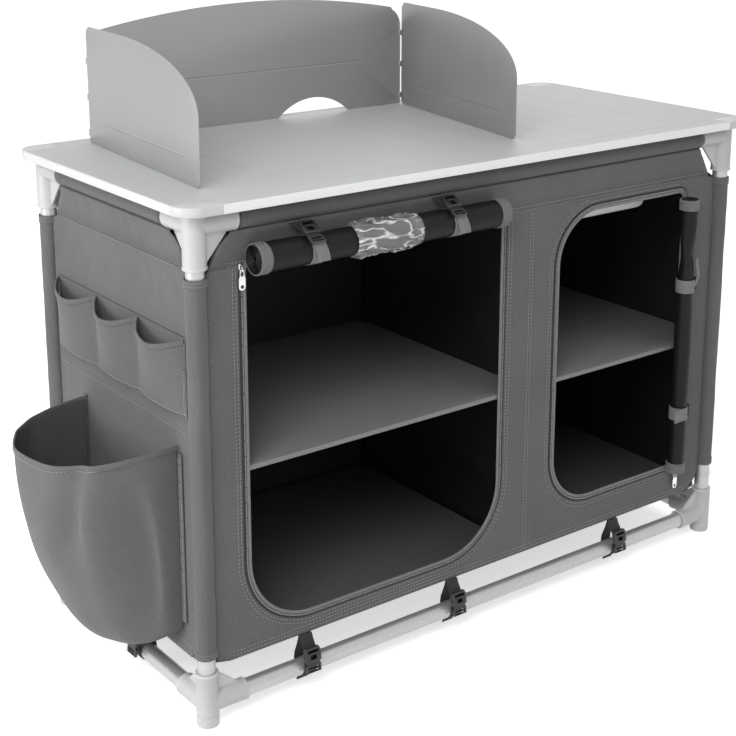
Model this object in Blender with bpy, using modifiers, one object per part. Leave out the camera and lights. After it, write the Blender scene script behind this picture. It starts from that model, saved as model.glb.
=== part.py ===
# Camp kitchen unit: an aluminium tube frame with plugged corners, a boarded worktop with a
# lift-out basin, a hinged windshield and a fabric cupboard. Metres, X right, Y back, Z up.
import math

import bmesh
import bpy
from mathutils import Euler, Matrix, Vector

# Worktop
WORKTOP_LENGTH = 1.165
WORKTOP_DEPTH = 0.540
WORKTOP_HEIGHT = 0.800
WORKTOP_THICKNESS = 0.014
WORKTOP_RIM = 0.039
END_BOARD_LEFT = 0.1295
END_BOARD_RIGHT = 0.1500
SLAT_PITCH = 0.083
SLAT_BOARDS = 3
BOARD_THICKNESS = 0.006
BOARD_GROOVE = 0.0012
BOARD_LEDGE = 0.012
CAP_LENGTH = 0.062
CORNER_RADIUS = 0.036
EDGE_BEVEL = 0.0012

# Basin and its lid
LID_LENGTH = 0.242
LID_LEDGE = 0.012
LID_FRONT_LEDGE = 0.034
BASIN_DEPTH = 0.145
BASIN_WALL = 0.0025
BASIN_DRAFT = 0.018
BASIN_CORNER = 0.040
BASIN_SOLE = 0.012

# Tube frame
TUBE_DIAMETER = 0.027
TUBE_WALL = 0.0012
SOCKET_WALL = 0.0033
ARM_WALL = 0.0029
LEG_INSET_X = 0.036
LEG_INSET_Y = 0.038
LOW_RAIL_HEIGHT = 0.036
SOCKET_ARM = 0.064
TOP_SOCKET_DROP = 0.064
FOOT_SOCKET_RISE = 0.050
SOCKET_BEAD = 0.0008
BEAD_HEIGHT = 0.0045
GUSSET_THICKNESS = 0.005
FOOT_SEAM_HEIGHT = 0.018
FOOT_SEAM_DEPTH = 0.0006
TUBE_SIDES = 16

# Windshield
SHIELD_LENGTH = 0.640
SHIELD_LEFT_SETBACK = 0.1195
SHIELD_REAR_SETBACK = 0.034
SHIELD_END_HEIGHT = 0.182
SHIELD_ARCH_RISE = 0.028
SHIELD_SHEET = 0.0012
SHIELD_CORNER = 0.038
REAR_ARCH_SETBACK = 0.367
REAR_ARCH_WIDTH = 0.152
REAR_ARCH_RISE = 0.030
SHIELD_RIB_HEIGHT = 0.087
SHIELD_RIB_MARGIN = 0.092
WING_LENGTH = 0.412
WING_HEIGHT = 0.190
WING_FRONT_HEIGHT = 0.098
WING_TOP_RADIUS = 0.015
WING_FOOT_RADIUS = 0.012
WING_RIB_HEIGHT = 0.040
WING_RIB_START = 0.055
WING_RIB_MARGIN = 0.046
RIB_WIDTH = 0.0044
RIB_DEPTH = 0.0009
LEFT_WING_SPREAD = 4.8
RIGHT_WING_TOE_IN = 10.7
HINGE_STRIP = 0.0030
HINGE_SLOT = 0.0024
CURL_BORE = 0.0021
CURL_HEIGHT = 0.010
CURL_PITCH = 0.0585
LOWEST_CURL = 0.011
CURLS = 3
PEG_WIDTH = 0.012
PEG_REACH = 0.009
PEG_SETBACK = 0.045

# Fabric cupboard
FABRIC = 0.0020
HEM_HEIGHT = 0.090
LEG_SLEEVE_BOTTOM = 0.111
LEG_SLEEVE_DROP = 0.108
RAIL_SLEEVE_INSET = 0.085
PANEL_CORNER_CUT = 0.040
LEFT_DOOR_SETBACK = 0.0805
LEFT_DOOR_WIDTH = 0.486
LEFT_DOOR_BOTTOM = 0.128
LEFT_DOOR_DROP = 0.100
LEFT_DOOR_RADIUS = 0.110
DOOR_POST = 0.130
RIGHT_DOOR_WIDTH = 0.300
RIGHT_DOOR_BOTTOM = 0.157
RIGHT_DOOR_DROP = 0.123
RIGHT_DOOR_RADIUS = 0.088
DOOR_TOP_RADIUS = 0.012
SHELF_HEIGHT = 0.392
SHELF_THICKNESS = 0.008
FLOOR_THICKNESS = 0.005
SHELF_LEDGE = 0.025
SHELF_CORNER = 0.036

# Rolled doors
ROLL_RADIUS = 0.026
LEFT_ROLL_DROP = 0.092
RIGHT_ROLL_TOP_SETBACK = 0.022
RIGHT_ROLL_OVERHANG = 0.006
RIGHT_ROLL_OFFSET = 0.002
ROLL_SIDES = 20
ROLL_HEM = 0.020
ROLL_HEM_PROUD = 0.0010
ROLL_LAYER = 0.0095
ROLL_LAYER_DEPTH = 0.0030
ROLL_STRAP_WIDTH = 0.024
ROLL_STRAP_PROUD = 0.0018
LEFT_STRAP_SHARES = (0.26, 0.79)
RIGHT_STRAP_SHARES = (0.23, 0.71)

# Side pockets
POCKET_COUNT = 3
POCKET_MARGIN = 0.031
POCKET_BULGE = 0.030
POCKET_DROP = 0.205
POCKET_HEIGHT = 0.117
POCKET_WALL = 0.0018
BAG_FRONT_MARGIN = 0.060
BAG_REAR_MARGIN = 0.107
BAG_HEM_GAP = 0.002
BAG_TO_POCKET = 0.070
BAG_SOLE_LIFT = 0.045
BAG_DROOP = 0.018
BAG_REACH = 0.176
BAG_WALL = 0.0025

# Webbing ties round the low rails
TIE_WIDTH = 0.025
TIE_WEBBING = 0.0016
TIE_LOOP_SLACK = 0.0015
BUCKLE_LENGTH = 0.040
BUCKLE_WIDTH = 0.032
BUCKLE_THICKNESS = 0.011
FRONT_TIE_SETBACKS = (0.2125, 0.5075, 0.8875)
BACK_TIE_SETBACKS = (0.2125, 0.8875)
SIDE_TIE_SETBACK = 0.230

# Zip sliders and their pulls
SLIDER_WIDTH = 0.008
SLIDER_LENGTH = 0.013
SLIDER_THICKNESS = 0.0027
BRIDGE_WIDTH = 0.0024
BRIDGE_LENGTH = 0.010
BRIDGE_THICKNESS = 0.0010
BRIDGE_HOLLOW = 0.0030
PULL_WIDTH = 0.011
PULL_LENGTH = 0.030
PULL_THICKNESS = 0.0018
PULL_WINDOW = 0.0050
PULL_BAR = 0.0018
PULL_HOLE = 0.0022
LEFT_ZIP_OFFSET = 0.008
RIGHT_ZIP_OFFSET = 0.013
LEFT_ZIP_DROP = 0.005
RIGHT_ZIP_DROP = 0.004

# Running and seating clearance between neighbours
GAP = 0.0003

# Derived places
HALF_LENGTH = WORKTOP_LENGTH / 2
HALF_DEPTH = WORKTOP_DEPTH / 2
WORKTOP_UNDER = WORKTOP_HEIGHT - WORKTOP_THICKNESS
LEG_X = HALF_LENGTH - LEG_INSET_X
LEG_Y = HALF_DEPTH - LEG_INSET_Y
TUBE_R = TUBE_DIAMETER / 2
BORE_R = TUBE_R + GAP
SOCKET_R = BORE_R + SOCKET_WALL
ARM_R = BORE_R + ARM_WALL
TUBE_STOP = SOCKET_R + 0.0015
TOP_RAIL_Z = WORKTOP_UNDER - GAP - SOCKET_R
SLEEVE_R = BORE_R + FABRIC
BOARDS_LEFT = -HALF_LENGTH + END_BOARD_LEFT
BOARDS_RIGHT = BOARDS_LEFT + SLAT_BOARDS * 2 * SLAT_PITCH
BOARDS_HALF_DEPTH = HALF_DEPTH - WORKTOP_RIM
LID_RIGHT = HALF_LENGTH - END_BOARD_RIGHT
LID_LEFT = LID_RIGHT - LID_LENGTH
FLANGE_BOTTOM = WORKTOP_HEIGHT - BOARD_THICKNESS - GAP - BASIN_WALL
HINGE_Y = HALF_DEPTH - SHIELD_REAR_SETBACK
HINGE_LEFT_X = -HALF_LENGTH + SHIELD_LEFT_SETBACK
HINGE_RIGHT_X = HINGE_LEFT_X + SHIELD_LENGTH
SHIELD_FOOT = WORKTOP_HEIGHT + GAP
LEG_SLEEVE_TOP = WORKTOP_HEIGHT - LEG_SLEEVE_DROP
LEFT_DOOR_TOP = WORKTOP_HEIGHT - LEFT_DOOR_DROP
RIGHT_DOOR_TOP = WORKTOP_HEIGHT - RIGHT_DOOR_DROP
LEFT_ROLL_HEIGHT = WORKTOP_HEIGHT - LEFT_ROLL_DROP
RIGHT_ROLL_BOTTOM = RIGHT_DOOR_BOTTOM - RIGHT_ROLL_OVERHANG
RIGHT_ROLL_LENGTH = RIGHT_DOOR_TOP - RIGHT_ROLL_TOP_SETBACK - RIGHT_ROLL_BOTTOM
LEFT_ZIP_HEIGHT = LEFT_DOOR_TOP - LEFT_ZIP_DROP
LEFT_DOOR_X = -LEG_X + LEFT_DOOR_SETBACK
POST_X = LEFT_DOOR_X + LEFT_DOOR_WIDTH
RIGHT_DOOR_X = POST_X + DOOR_POST
DIVIDER_X = POST_X + DOOR_POST / 2
FRONT_FACE = -LEG_Y - FABRIC / 2
ROLL_Y = FRONT_FACE - GAP - ROLL_RADIUS - ROLL_STRAP_PROUD
LEFT_FACE = -LEG_X - FABRIC / 2
BAG_BACK = LEFT_FACE - GAP
POCKET_TOP = WORKTOP_HEIGHT - POCKET_DROP
POCKET_BOTTOM = POCKET_TOP - POCKET_HEIGHT
POCKET_PITCH = 2 * (LEG_Y - POCKET_MARGIN) / POCKET_COUNT
BAG_BOTTOM = HEM_HEIGHT + BAG_HEM_GAP
BAG_MOUTH = POCKET_BOTTOM - BAG_TO_POCKET
BAG_WIDTH = 2 * LEG_Y - BAG_FRONT_MARGIN - BAG_REAR_MARGIN
BAG_Y = (BAG_FRONT_MARGIN - BAG_REAR_MARGIN) / 2
TIE_TOP = HEM_HEIGHT - FABRIC / 2 - GAP
TIE_LOOP_HALF_WIDTH = TUBE_R + TIE_LOOP_SLACK
TIE_LOOP_BOTTOM = LOW_RAIL_HEIGHT - TIE_LOOP_HALF_WIDTH - TIE_WEBBING
CURL_RADIUS = CURL_BORE + SHIELD_SHEET
SHEET_OFFSET = CURL_RADIUS - SHIELD_SHEET / 2 - GAP

# The shift that brings the box of the whole unit to its middle
LEFT_REACH = BAG_BACK - BAG_REACH
FRONT_REACH = ROLL_Y - ROLL_RADIUS - ROLL_STRAP_PROUD
CENTRE_X = -(LEFT_REACH + HALF_LENGTH) / 2
CENTRE_Y = -(FRONT_REACH + HALF_DEPTH) / 2

MATERIALS = {
    "aluminium": ((0.78, 0.79, 0.80), 0.32, 0.9),
    "corner_plastic": ((0.55, 0.56, 0.57), 0.45, 0.0),
    "worktop_board": ((0.50, 0.51, 0.52), 0.35, 0.1),
    "steel_sheet": ((0.42, 0.43, 0.44), 0.40, 0.3),
    "basin_plastic": ((0.56, 0.57, 0.58), 0.40, 0.0),
    "shelf_board": ((0.30, 0.31, 0.32), 0.45, 0.0),
    "canvas": ((0.12, 0.12, 0.125), 0.85, 0.0),
    "webbing": ((0.18, 0.18, 0.19), 0.80, 0.0),
    "zip_metal": ((0.70, 0.70, 0.71), 0.25, 1.0),
}


def clear_scene():
    for item in list(bpy.data.objects):
        bpy.data.objects.remove(item, do_unlink=True)


def new_collection(name):
    collection = bpy.data.collections.new(name)
    bpy.context.scene.collection.children.link(collection)
    return collection


def make_material(name):
    colour, roughness, metallic = MATERIALS[name]
    material = bpy.data.materials.new(name)
    material.use_nodes = True
    shader = material.node_tree.nodes["Principled BSDF"]
    shader.inputs["Base Color"].default_value = (*colour, 1.0)
    shader.inputs["Roughness"].default_value = roughness
    shader.inputs["Metallic"].default_value = metallic
    return material


clear_scene()
PARTS = new_collection("camp_kitchen_unit")
GUIDES = new_collection("cutters")
FINISH = {name: make_material(name) for name in MATERIALS}
ORIGIN = bpy.data.objects.new("unit_origin", None)
ORIGIN.location = (CENTRE_X, CENTRE_Y, 0)
PARTS.objects.link(ORIGIN)


def smooth(mesh, angle=35):
    mesh.shade_smooth()
    mesh.set_sharp_from_angle(angle=math.radians(angle))


def add_part(name, mesh, finish, location=(0, 0, 0), rotation=(0, 0, 0), parent=None):
    part = bpy.data.objects.new(name, mesh)
    part.location = location
    part.rotation_euler = rotation
    part.parent = parent or ORIGIN
    PARTS.objects.link(part)
    if not mesh.materials:
        mesh.materials.append(FINISH[finish])
    return part


def add_guide(name, mesh, location=(0, 0, 0), rotation=(0, 0, 0), parent=None):
    guide = bpy.data.objects.new(name, mesh)
    guide.location = location
    guide.rotation_euler = rotation
    guide.parent = parent or ORIGIN
    guide.hide_render = True
    guide.display_type = "WIRE"
    GUIDES.objects.link(guide)
    return guide


def combine(part, guide, operation):
    step = part.modifiers.new(guide.name, "BOOLEAN")
    step.operation = operation
    step.solver = "EXACT"
    step.object = guide


def cut(part, guide):
    combine(part, guide, "DIFFERENCE")


def join(part, guide):
    combine(part, guide, "UNION")


def evaluated_mesh(part, name):
    bpy.context.view_layer.update()
    graph = bpy.context.evaluated_depsgraph_get()
    mesh = bpy.data.meshes.new_from_object(part.evaluated_get(graph))
    mesh.name = name
    return mesh


def box_mesh(name, low, high):
    bm = bmesh.new()
    bmesh.ops.create_cube(bm, size=1.0)
    size = Vector(high) - Vector(low)
    middle = (Vector(high) + Vector(low)) / 2
    bmesh.ops.transform(bm, matrix=Matrix.Translation(middle) @ Matrix.Diagonal((*size, 1)), verts=bm.verts)
    mesh = bpy.data.meshes.new(name)
    bm.to_mesh(mesh)
    bm.free()
    return mesh


def bevel(part, width, segments=2, angle=40):
    step = part.modifiers.new("rounded_edges", "BEVEL")
    step.width = width
    step.segments = segments
    step.limit_method = "ANGLE"
    step.angle_limit = math.radians(angle)
    return step


def turned_mesh(name, profile, sides=TUBE_SIDES):
    # The profile runs from the top down its outer side, in (radius, height) pairs.
    bm = bmesh.new()
    points = [bm.verts.new((r, 0, z)) for r, z in profile]
    for a, b in zip(points, points[1:]):
        bm.edges.new((a, b))
    if profile[0][0] > 0:
        bm.edges.new((points[-1], points[0]))
    mesh = bpy.data.meshes.new(name + "_profile")
    bm.to_mesh(mesh)
    bm.free()
    holder = bpy.data.objects.new(name + "_profile", mesh)
    GUIDES.objects.link(holder)
    screw = holder.modifiers.new("turn", "SCREW")
    screw.axis = "Z"
    screw.angle = 2 * math.pi
    screw.steps = sides
    screw.render_steps = sides
    screw.use_merge_vertices = True
    screw.merge_threshold = 0.00001
    solid = evaluated_mesh(holder, name)
    bpy.data.objects.remove(holder, do_unlink=True)
    smooth(solid)
    return solid


def rod_mesh(name, radius, low, high, sides=TUBE_SIDES):
    return turned_mesh(name, [(0, high), (radius, high), (radius, low), (0, low)], sides)


def pipe_mesh(name, outer, inner, low, high, sides=TUBE_SIDES):
    return turned_mesh(name, [(outer, high), (outer, low), (inner, low), (inner, high)], sides)


def plate_mesh(name, outline, thickness, holes=()):
    # A flat outline in the XY plane, centred on Z = 0.
    curve = bpy.data.curves.new(name + "_outline", "CURVE")
    curve.dimensions = "2D"
    curve.fill_mode = "BOTH"
    curve.extrude = thickness / 2
    for ring in (outline, *holes):
        spline = curve.splines.new("POLY")
        spline.points.add(len(ring) - 1)
        for point, (x, y) in zip(spline.points, ring):
            point.co = (x, y, 0, 1)
        spline.use_cyclic_u = True
    holder = bpy.data.objects.new(name + "_outline", curve)
    GUIDES.objects.link(holder)
    solid = evaluated_mesh(holder, name)
    bpy.data.objects.remove(holder, do_unlink=True)
    bm = bmesh.new()
    bm.from_mesh(solid)
    bmesh.ops.remove_doubles(bm, verts=bm.verts, dist=0.00001)
    bmesh.ops.dissolve_limit(bm, angle_limit=0.001, verts=bm.verts, edges=bm.edges)
    bmesh.ops.recalc_face_normals(bm, faces=bm.faces)
    bm.to_mesh(solid)
    bm.free()
    return solid


def placed_mesh(name, items):
    # Several solids that stand clear of each other, as one mesh. Each item is a mesh, place and turn.
    bm = bmesh.new()
    for mesh, place, turn in items:
        before = len(bm.verts)
        bm.from_mesh(mesh)
        bm.verts.ensure_lookup_table()
        matrix = Matrix.Translation(place) @ Euler(turn).to_matrix().to_4x4()
        bmesh.ops.transform(bm, matrix=matrix, verts=bm.verts[before:])
    result = bpy.data.meshes.new(name)
    bm.to_mesh(result)
    bm.free()
    return result


def loft_mesh(name, rings):
    # Closed sections of equal count, joined in order and capped at both ends.
    bm = bmesh.new()
    loops = [[bm.verts.new(point) for point in ring] for ring in rings]
    for lower, upper in zip(loops, loops[1:]):
        for i in range(len(lower)):
            j = (i + 1) % len(lower)
            bm.faces.new((lower[i], lower[j], upper[j], upper[i]))
    bm.faces.new(list(reversed(loops[0])))
    bm.faces.new(loops[-1])
    bmesh.ops.recalc_face_normals(bm, faces=bm.faces)
    mesh = bpy.data.meshes.new(name)
    bm.to_mesh(mesh)
    bm.free()
    smooth(mesh)
    return mesh


def arc(centre, radius, start, end, steps):
    # Points of an arc in degrees, both ends included.
    angles = [math.radians(start + (end - start) * i / steps) for i in range(steps + 1)]
    return [(centre[0] + radius * math.cos(a), centre[1] + radius * math.sin(a)) for a in angles]


def rounded_rectangle(low, high, radii, steps=4):
    # radii: bottom left, bottom right, top right, top left
    (x0, y0), (x1, y1) = low, high
    bl, br, tr, tl = radii
    points = arc((x0 + bl, y0 + bl), bl, 180, 270, steps)
    points += arc((x1 - br, y0 + br), br, 270, 360, steps)
    points += arc((x1 - tr, y1 - tr), tr, 0, 90, steps)
    points += arc((x0 + tl, y1 - tl), tl, 90, 180, steps)
    return points


UPRIGHT = (math.pi / 2, 0, 0)
SIDEWAYS = (math.pi / 2, 0, math.pi / 2)
ALONG_X = (0, math.pi / 2, 0)
ALONG_Y = (math.pi / 2, 0, 0)
QUARTER = math.pi / 2


def tube(name, length_from, length_to, location, rotation):
    mesh = pipe_mesh(name, TUBE_R, TUBE_R - TUBE_WALL, length_from, length_to)
    return add_part(name, mesh, "aluminium", location, rotation)


def make_tubes():
    half_x = LEG_X - TUBE_STOP
    half_y = LEG_Y - TUBE_STOP
    for level, z in (("top", TOP_RAIL_Z), ("low", LOW_RAIL_HEIGHT)):
        for side, sign in (("front", -1), ("back", 1)):
            tube(f"{level}_rail_{side}", -half_x, half_x, (0, sign * LEG_Y, z), ALONG_X)
        for side, sign in (("left", -1), ("right", 1)):
            tube(f"{level}_rail_{side}", -half_y, half_y, (sign * LEG_X, 0, z), ALONG_Y)
    low_end = LOW_RAIL_HEIGHT + TUBE_STOP
    high_end = TOP_RAIL_Z - TUBE_STOP
    for row, sign_y in (("front", -1), ("back", 1)):
        for side, sign_x in (("left", -1), ("right", 1)):
            tube(f"leg_{row}_{side}", low_end, high_end, (sign_x * LEG_X, sign_y * LEG_Y, 0), (0, 0, 0))


def socket_post_profile(low, high, bead_at_low):
    # The upright sleeve of a corner, with a small bead round its open end.
    r = SOCKET_R
    b = SOCKET_R + SOCKET_BEAD
    if bead_at_low:
        bead = [(r, low + BEAD_HEIGHT), (b, low + BEAD_HEIGHT * 0.8), (b, low)]
        return [(0, high), (r, high)] + bead + [(0, low)]
    seam_low = low + FOOT_SEAM_HEIGHT - FOOT_SEAM_DEPTH
    seam_high = low + FOOT_SEAM_HEIGHT + FOOT_SEAM_DEPTH
    foot = [(r - FOOT_SEAM_DEPTH, seam_high), (r - FOOT_SEAM_DEPTH, seam_low), (r, seam_low)]
    toe = [(r, low + EDGE_BEVEL), (r - EDGE_BEVEL, low), (0, low)]
    rim = [(0, high), (b, high), (b, high - BEAD_HEIGHT * 0.8), (r, high - BEAD_HEIGHT), (r, seam_high)]
    return rim + foot + toe


def corner_mesh(name, low, high, open_at_low):
    # Three sockets meeting square, stiffened by two gusset webs. The arms run to +X and +Y.
    post = turned_mesh(name, socket_post_profile(low, high, open_at_low))
    base = add_part(name + "_body", post, "corner_plastic")
    arm_end = [(0, SOCKET_ARM), (ARM_R - EDGE_BEVEL, SOCKET_ARM), (ARM_R, SOCKET_ARM - EDGE_BEVEL)]
    arm_profile = arm_end + [(ARM_R, 0), (0, 0)]
    arm = turned_mesh(name + "_arm", arm_profile)
    open_end = low if open_at_low else high
    reach = open_end * 0.97
    inner = ARM_R * 0.5
    web = [(inner, 0), (SOCKET_ARM * 0.94, 0), (SOCKET_ARM * 0.94, math.copysign(ARM_R * 0.8, open_end)),
           (SOCKET_R * 0.9, reach), (inner, reach)]
    web_mesh = plate_mesh(name + "_web", web, GUSSET_THICKNESS)
    for tag, arm_turn, web_turn in (("x", ALONG_X, UPRIGHT), ("y", (-QUARTER, 0, 0), SIDEWAYS)):
        join(base, add_guide(f"{name}_arm_{tag}", arm, rotation=arm_turn))
        join(base, add_guide(f"{name}_web_{tag}", web_mesh, rotation=web_turn))
    start = TUBE_STOP - GAP
    bore = rod_mesh(name + "_bore", BORE_R, start, SOCKET_ARM * 1.5)
    cut(base, add_guide(f"{name}_bore_x", bore, rotation=ALONG_X))
    cut(base, add_guide(f"{name}_bore_y", bore, rotation=(-QUARTER, 0, 0)))
    if open_at_low:
        cut(base, add_guide(f"{name}_bore_z", bore, rotation=(math.pi, 0, 0)))
    else:
        cut(base, add_guide(f"{name}_bore_z", bore))
    mesh = evaluated_mesh(base, name)
    smooth(mesh)
    bpy.data.objects.remove(base, do_unlink=True)
    return mesh


def make_corners():
    top = corner_mesh("top_corner", -TOP_SOCKET_DROP, SOCKET_R, True)
    foot = corner_mesh("foot_corner", -LOW_RAIL_HEIGHT, FOOT_SOCKET_RISE, False)
    corners = (("front_left", -1, -1, 0), ("front_right", 1, -1, 1),
               ("back_right", 1, 1, 2), ("back_left", -1, 1, 3))
    for tag, sign_x, sign_y, turns in corners:
        turn = (0, 0, turns * QUARTER)
        place = (sign_x * LEG_X, sign_y * LEG_Y)
        add_part(f"top_connector_{tag}", top, "corner_plastic", (*place, TOP_RAIL_Z), turn)
        add_part(f"foot_connector_{tag}", foot, "corner_plastic", (*place, LOW_RAIL_HEIGHT), turn)


def cap_outline(sign_x, sign_y):
    # A corner block with its outer corner rounded.
    x0, y0 = HALF_LENGTH, HALF_DEPTH
    x1, y1 = x0 - CAP_LENGTH, y0 - WORKTOP_RIM
    round_corner = arc((x0 - CORNER_RADIUS, y0 - CORNER_RADIUS), CORNER_RADIUS, 0, 90, 8)
    points = [(x1, y1), (x0, y1)] + round_corner + [(x1, y0)]
    return [(x * sign_x, y * sign_y) for x, y in points]


def make_corner_caps():
    middle = WORKTOP_HEIGHT - WORKTOP_THICKNESS / 2
    for row, sign_y in (("front", -1), ("back", 1)):
        for side, sign_x in (("left", -1), ("right", 1)):
            name = f"corner_cap_{row}_{side}"
            mesh = plate_mesh(name, cap_outline(sign_x, sign_y), WORKTOP_THICKNESS)
            cap = add_part(name, mesh, "corner_plastic", (0, 0, middle))
            bevel(cap, EDGE_BEVEL, 1, 60)


def peg_spots():
    # Where the windshield's two pegs stand along the rear rim.
    return (HINGE_LEFT_X + PEG_SETBACK, HINGE_RIGHT_X - PEG_SETBACK)


def make_worktop_rims():
    # The long strips between the corner caps. The rear one has a slot for each windshield peg.
    x = HALF_LENGTH - CAP_LENGTH - GAP
    for row, sign in (("front", -1), ("back", 1)):
        y0, y1 = sorted((sign * HALF_DEPTH, sign * BOARDS_HALF_DEPTH))
        name = f"worktop_rim_{row}"
        mesh = box_mesh(name, (-x, y0, WORKTOP_UNDER), (x, y1, WORKTOP_HEIGHT))
        rim = add_part(name, mesh, "aluminium")
        if row == "back":
            half_x, half_y = PEG_WIDTH / 2 + GAP, SHIELD_SHEET / 2 + GAP
            slot = box_mesh("peg_slot", (-half_x, -half_y, -PEG_REACH), (half_x, half_y, 0.01))
            slots = [(slot, (spot, HINGE_Y, WORKTOP_HEIGHT), (0, 0, 0)) for spot in peg_spots()]
            cut(rim, add_guide("peg_slots", placed_mesh("peg_slots", slots)))


def make_worktop_frame():
    # The left end and the crossbar, joined by the ledge that the boards lie on.
    y = BOARDS_HALF_DEPTH - GAP
    slab = box_mesh("worktop_frame", (-HALF_LENGTH, -y, WORKTOP_UNDER), (LID_LEFT, y, WORKTOP_HEIGHT))
    frame = add_part("worktop_frame", slab, "worktop_board")
    ledge = WORKTOP_HEIGHT - BOARD_THICKNESS - GAP
    well_high = (BOARDS_RIGHT, HALF_DEPTH, WORKTOP_HEIGHT + 0.01)
    well = box_mesh("boards_well", (BOARDS_LEFT, -HALF_DEPTH, ledge), well_high)
    cut(frame, add_guide("boards_well", well))
    low = (BOARDS_LEFT + BOARD_LEDGE, -y + BOARD_LEDGE)
    opening = rounded_rectangle(low, (BOARDS_RIGHT - BOARD_LEDGE, y - BOARD_LEDGE), [BOARD_LEDGE] * 4, 2)
    hollow = plate_mesh("boards_opening", opening, WORKTOP_THICKNESS * 2)
    cut(frame, add_guide("boards_opening", hollow, (0, 0, WORKTOP_UNDER)))


def make_right_end():
    # The fixed panel to the right of the lid, between the two rims.
    y = BOARDS_HALF_DEPTH - GAP
    mesh = box_mesh("worktop_end_right", (LID_RIGHT, -y, WORKTOP_UNDER), (HALF_LENGTH, y, WORKTOP_HEIGHT))
    add_part("worktop_end_right", mesh, "worktop_board")


def make_basin_seat():
    # The ledge that the basin's flange rests on, set into the rim's right well.
    x0, x1, y = LID_LEFT + GAP, LID_RIGHT - GAP, BOARDS_HALF_DEPTH - GAP
    opening_low = (LID_LEFT + LID_LEDGE, -BOARDS_HALF_DEPTH + LID_FRONT_LEDGE)
    opening_high = (LID_RIGHT - LID_LEDGE, BOARDS_HALF_DEPTH - LID_FRONT_LEDGE)
    opening = rounded_rectangle(opening_low, opening_high, [BASIN_CORNER] * 4)
    thickness = FLANGE_BOTTOM - GAP - WORKTOP_UNDER
    seat = plate_mesh("basin_seat", [(x0, -y), (x1, -y), (x1, y), (x0, y)], thickness, [opening])
    add_part("basin_seat", seat, "aluminium", (0, 0, WORKTOP_UNDER + thickness / 2))


def board_mesh(name, left, right, seat):
    # A flat board with one shallow groove along its middle.
    y = BOARDS_HALF_DEPTH - GAP
    middle = (left + right) / 2
    top = WORKTOP_HEIGHT
    valley = top - BOARD_GROOVE
    half = BOARD_GROOVE / 2
    groove = [(middle + half, top), (middle, valley), (middle - half, top)]
    section = [(left, seat), (right, seat), (right, top)] + groove + [(left, top)]
    return plate_mesh(name, section, 2 * y)


def make_boards():
    seat = WORKTOP_HEIGHT - BOARD_THICKNESS
    for i in range(SLAT_BOARDS):
        left = BOARDS_LEFT + i * 2 * SLAT_PITCH + (GAP if i == 0 else GAP / 2)
        right = BOARDS_LEFT + (i + 1) * 2 * SLAT_PITCH - (GAP if i == SLAT_BOARDS - 1 else GAP / 2)
        name = f"worktop_board_{i + 1}"
        add_part(name, board_mesh(name, left, right, seat), "worktop_board", rotation=UPRIGHT)
    lid = board_mesh("sink_lid", LID_LEFT + GAP, LID_RIGHT - GAP, seat)
    add_part("sink_lid", lid, "worktop_board", rotation=UPRIGHT)


def basin_ring(inset, z, radius, flange=False):
    # The wall stands further in at the front and back, clear of the rails.
    inset_y = inset if flange else inset + LID_FRONT_LEDGE - LID_LEDGE
    low = (LID_LEFT + inset, -BOARDS_HALF_DEPTH + inset_y)
    high = (LID_RIGHT - inset, BOARDS_HALF_DEPTH - inset_y)
    return [(x, y, z) for x, y in rounded_rectangle(low, high, [radius] * 4)]


def make_basin():
    # A drawn tray: flange, drafted wall and a rounded sole, outer skin first and then the inner.
    wall = LID_LEDGE + GAP
    top = FLANGE_BOTTOM + BASIN_WALL
    floor = top - BASIN_DEPTH
    sole = wall + BASIN_DRAFT
    r = BASIN_CORNER - GAP
    outer = [
        basin_ring(sole + BASIN_SOLE, floor, r - BASIN_SOLE),
        basin_ring(sole + BASIN_SOLE * 0.3, floor + BASIN_SOLE * 0.3, r - BASIN_SOLE * 0.3),
        basin_ring(sole, floor + BASIN_SOLE, r),
        basin_ring(wall, FLANGE_BOTTOM, r),
        basin_ring(GAP, FLANGE_BOTTOM, 0.003, True),
        basin_ring(GAP, top, 0.003, True),
    ]
    t = BASIN_WALL
    inner = [
        basin_ring(wall + t, top, r - t),
        basin_ring(sole + t, floor + BASIN_SOLE, r - t),
        basin_ring(sole + t + BASIN_SOLE * 0.3, floor + t + BASIN_SOLE * 0.3, r - t - BASIN_SOLE * 0.3),
        basin_ring(sole + t + BASIN_SOLE, floor + t, r - t - BASIN_SOLE),
    ]
    add_part("sink_basin", loft_mesh("sink_basin", outer + inner), "basin_plastic")


def arch_points(x0, x1, end_height, rise, corner, steps):
    # A shallow arched top between two rounded corners, right to left.
    points = []
    for i in range(steps + 1):
        t = i / steps
        x = x1 - corner * 0.6 - (x1 - x0 - corner * 1.2) * t
        bend = 1 - (2 * t - 1) ** 2
        points.append((x, end_height + rise * bend))
    return points


def curl_bands(trim=0.0):
    # Heights of the wing's curled tabs above the foot of the windshield.
    starts = [LOWEST_CURL + i * CURL_PITCH for i in range(CURLS)]
    return [(start + trim, start + CURL_HEIGHT - trim) for start in starts]


def back_panel_outline():
    x0 = HINGE_LEFT_X - HINGE_STRIP / 2
    x1 = HINGE_RIGHT_X + HINGE_STRIP / 2
    base = SHIELD_FOOT
    shoulder = WORKTOP_HEIGHT + SHIELD_END_HEIGHT
    top = arch_points(x0, x1, shoulder, SHIELD_ARCH_RISE, SHIELD_CORNER, 14)
    right = arc((x1 - SHIELD_CORNER, shoulder - SHIELD_CORNER), SHIELD_CORNER, 0, 60, 4)
    left = arc((x0 + SHIELD_CORNER, shoulder - SHIELD_CORNER), SHIELD_CORNER, 120, 180, 4)
    return [(x0, base), (x1, base)] + right + top + left


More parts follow.
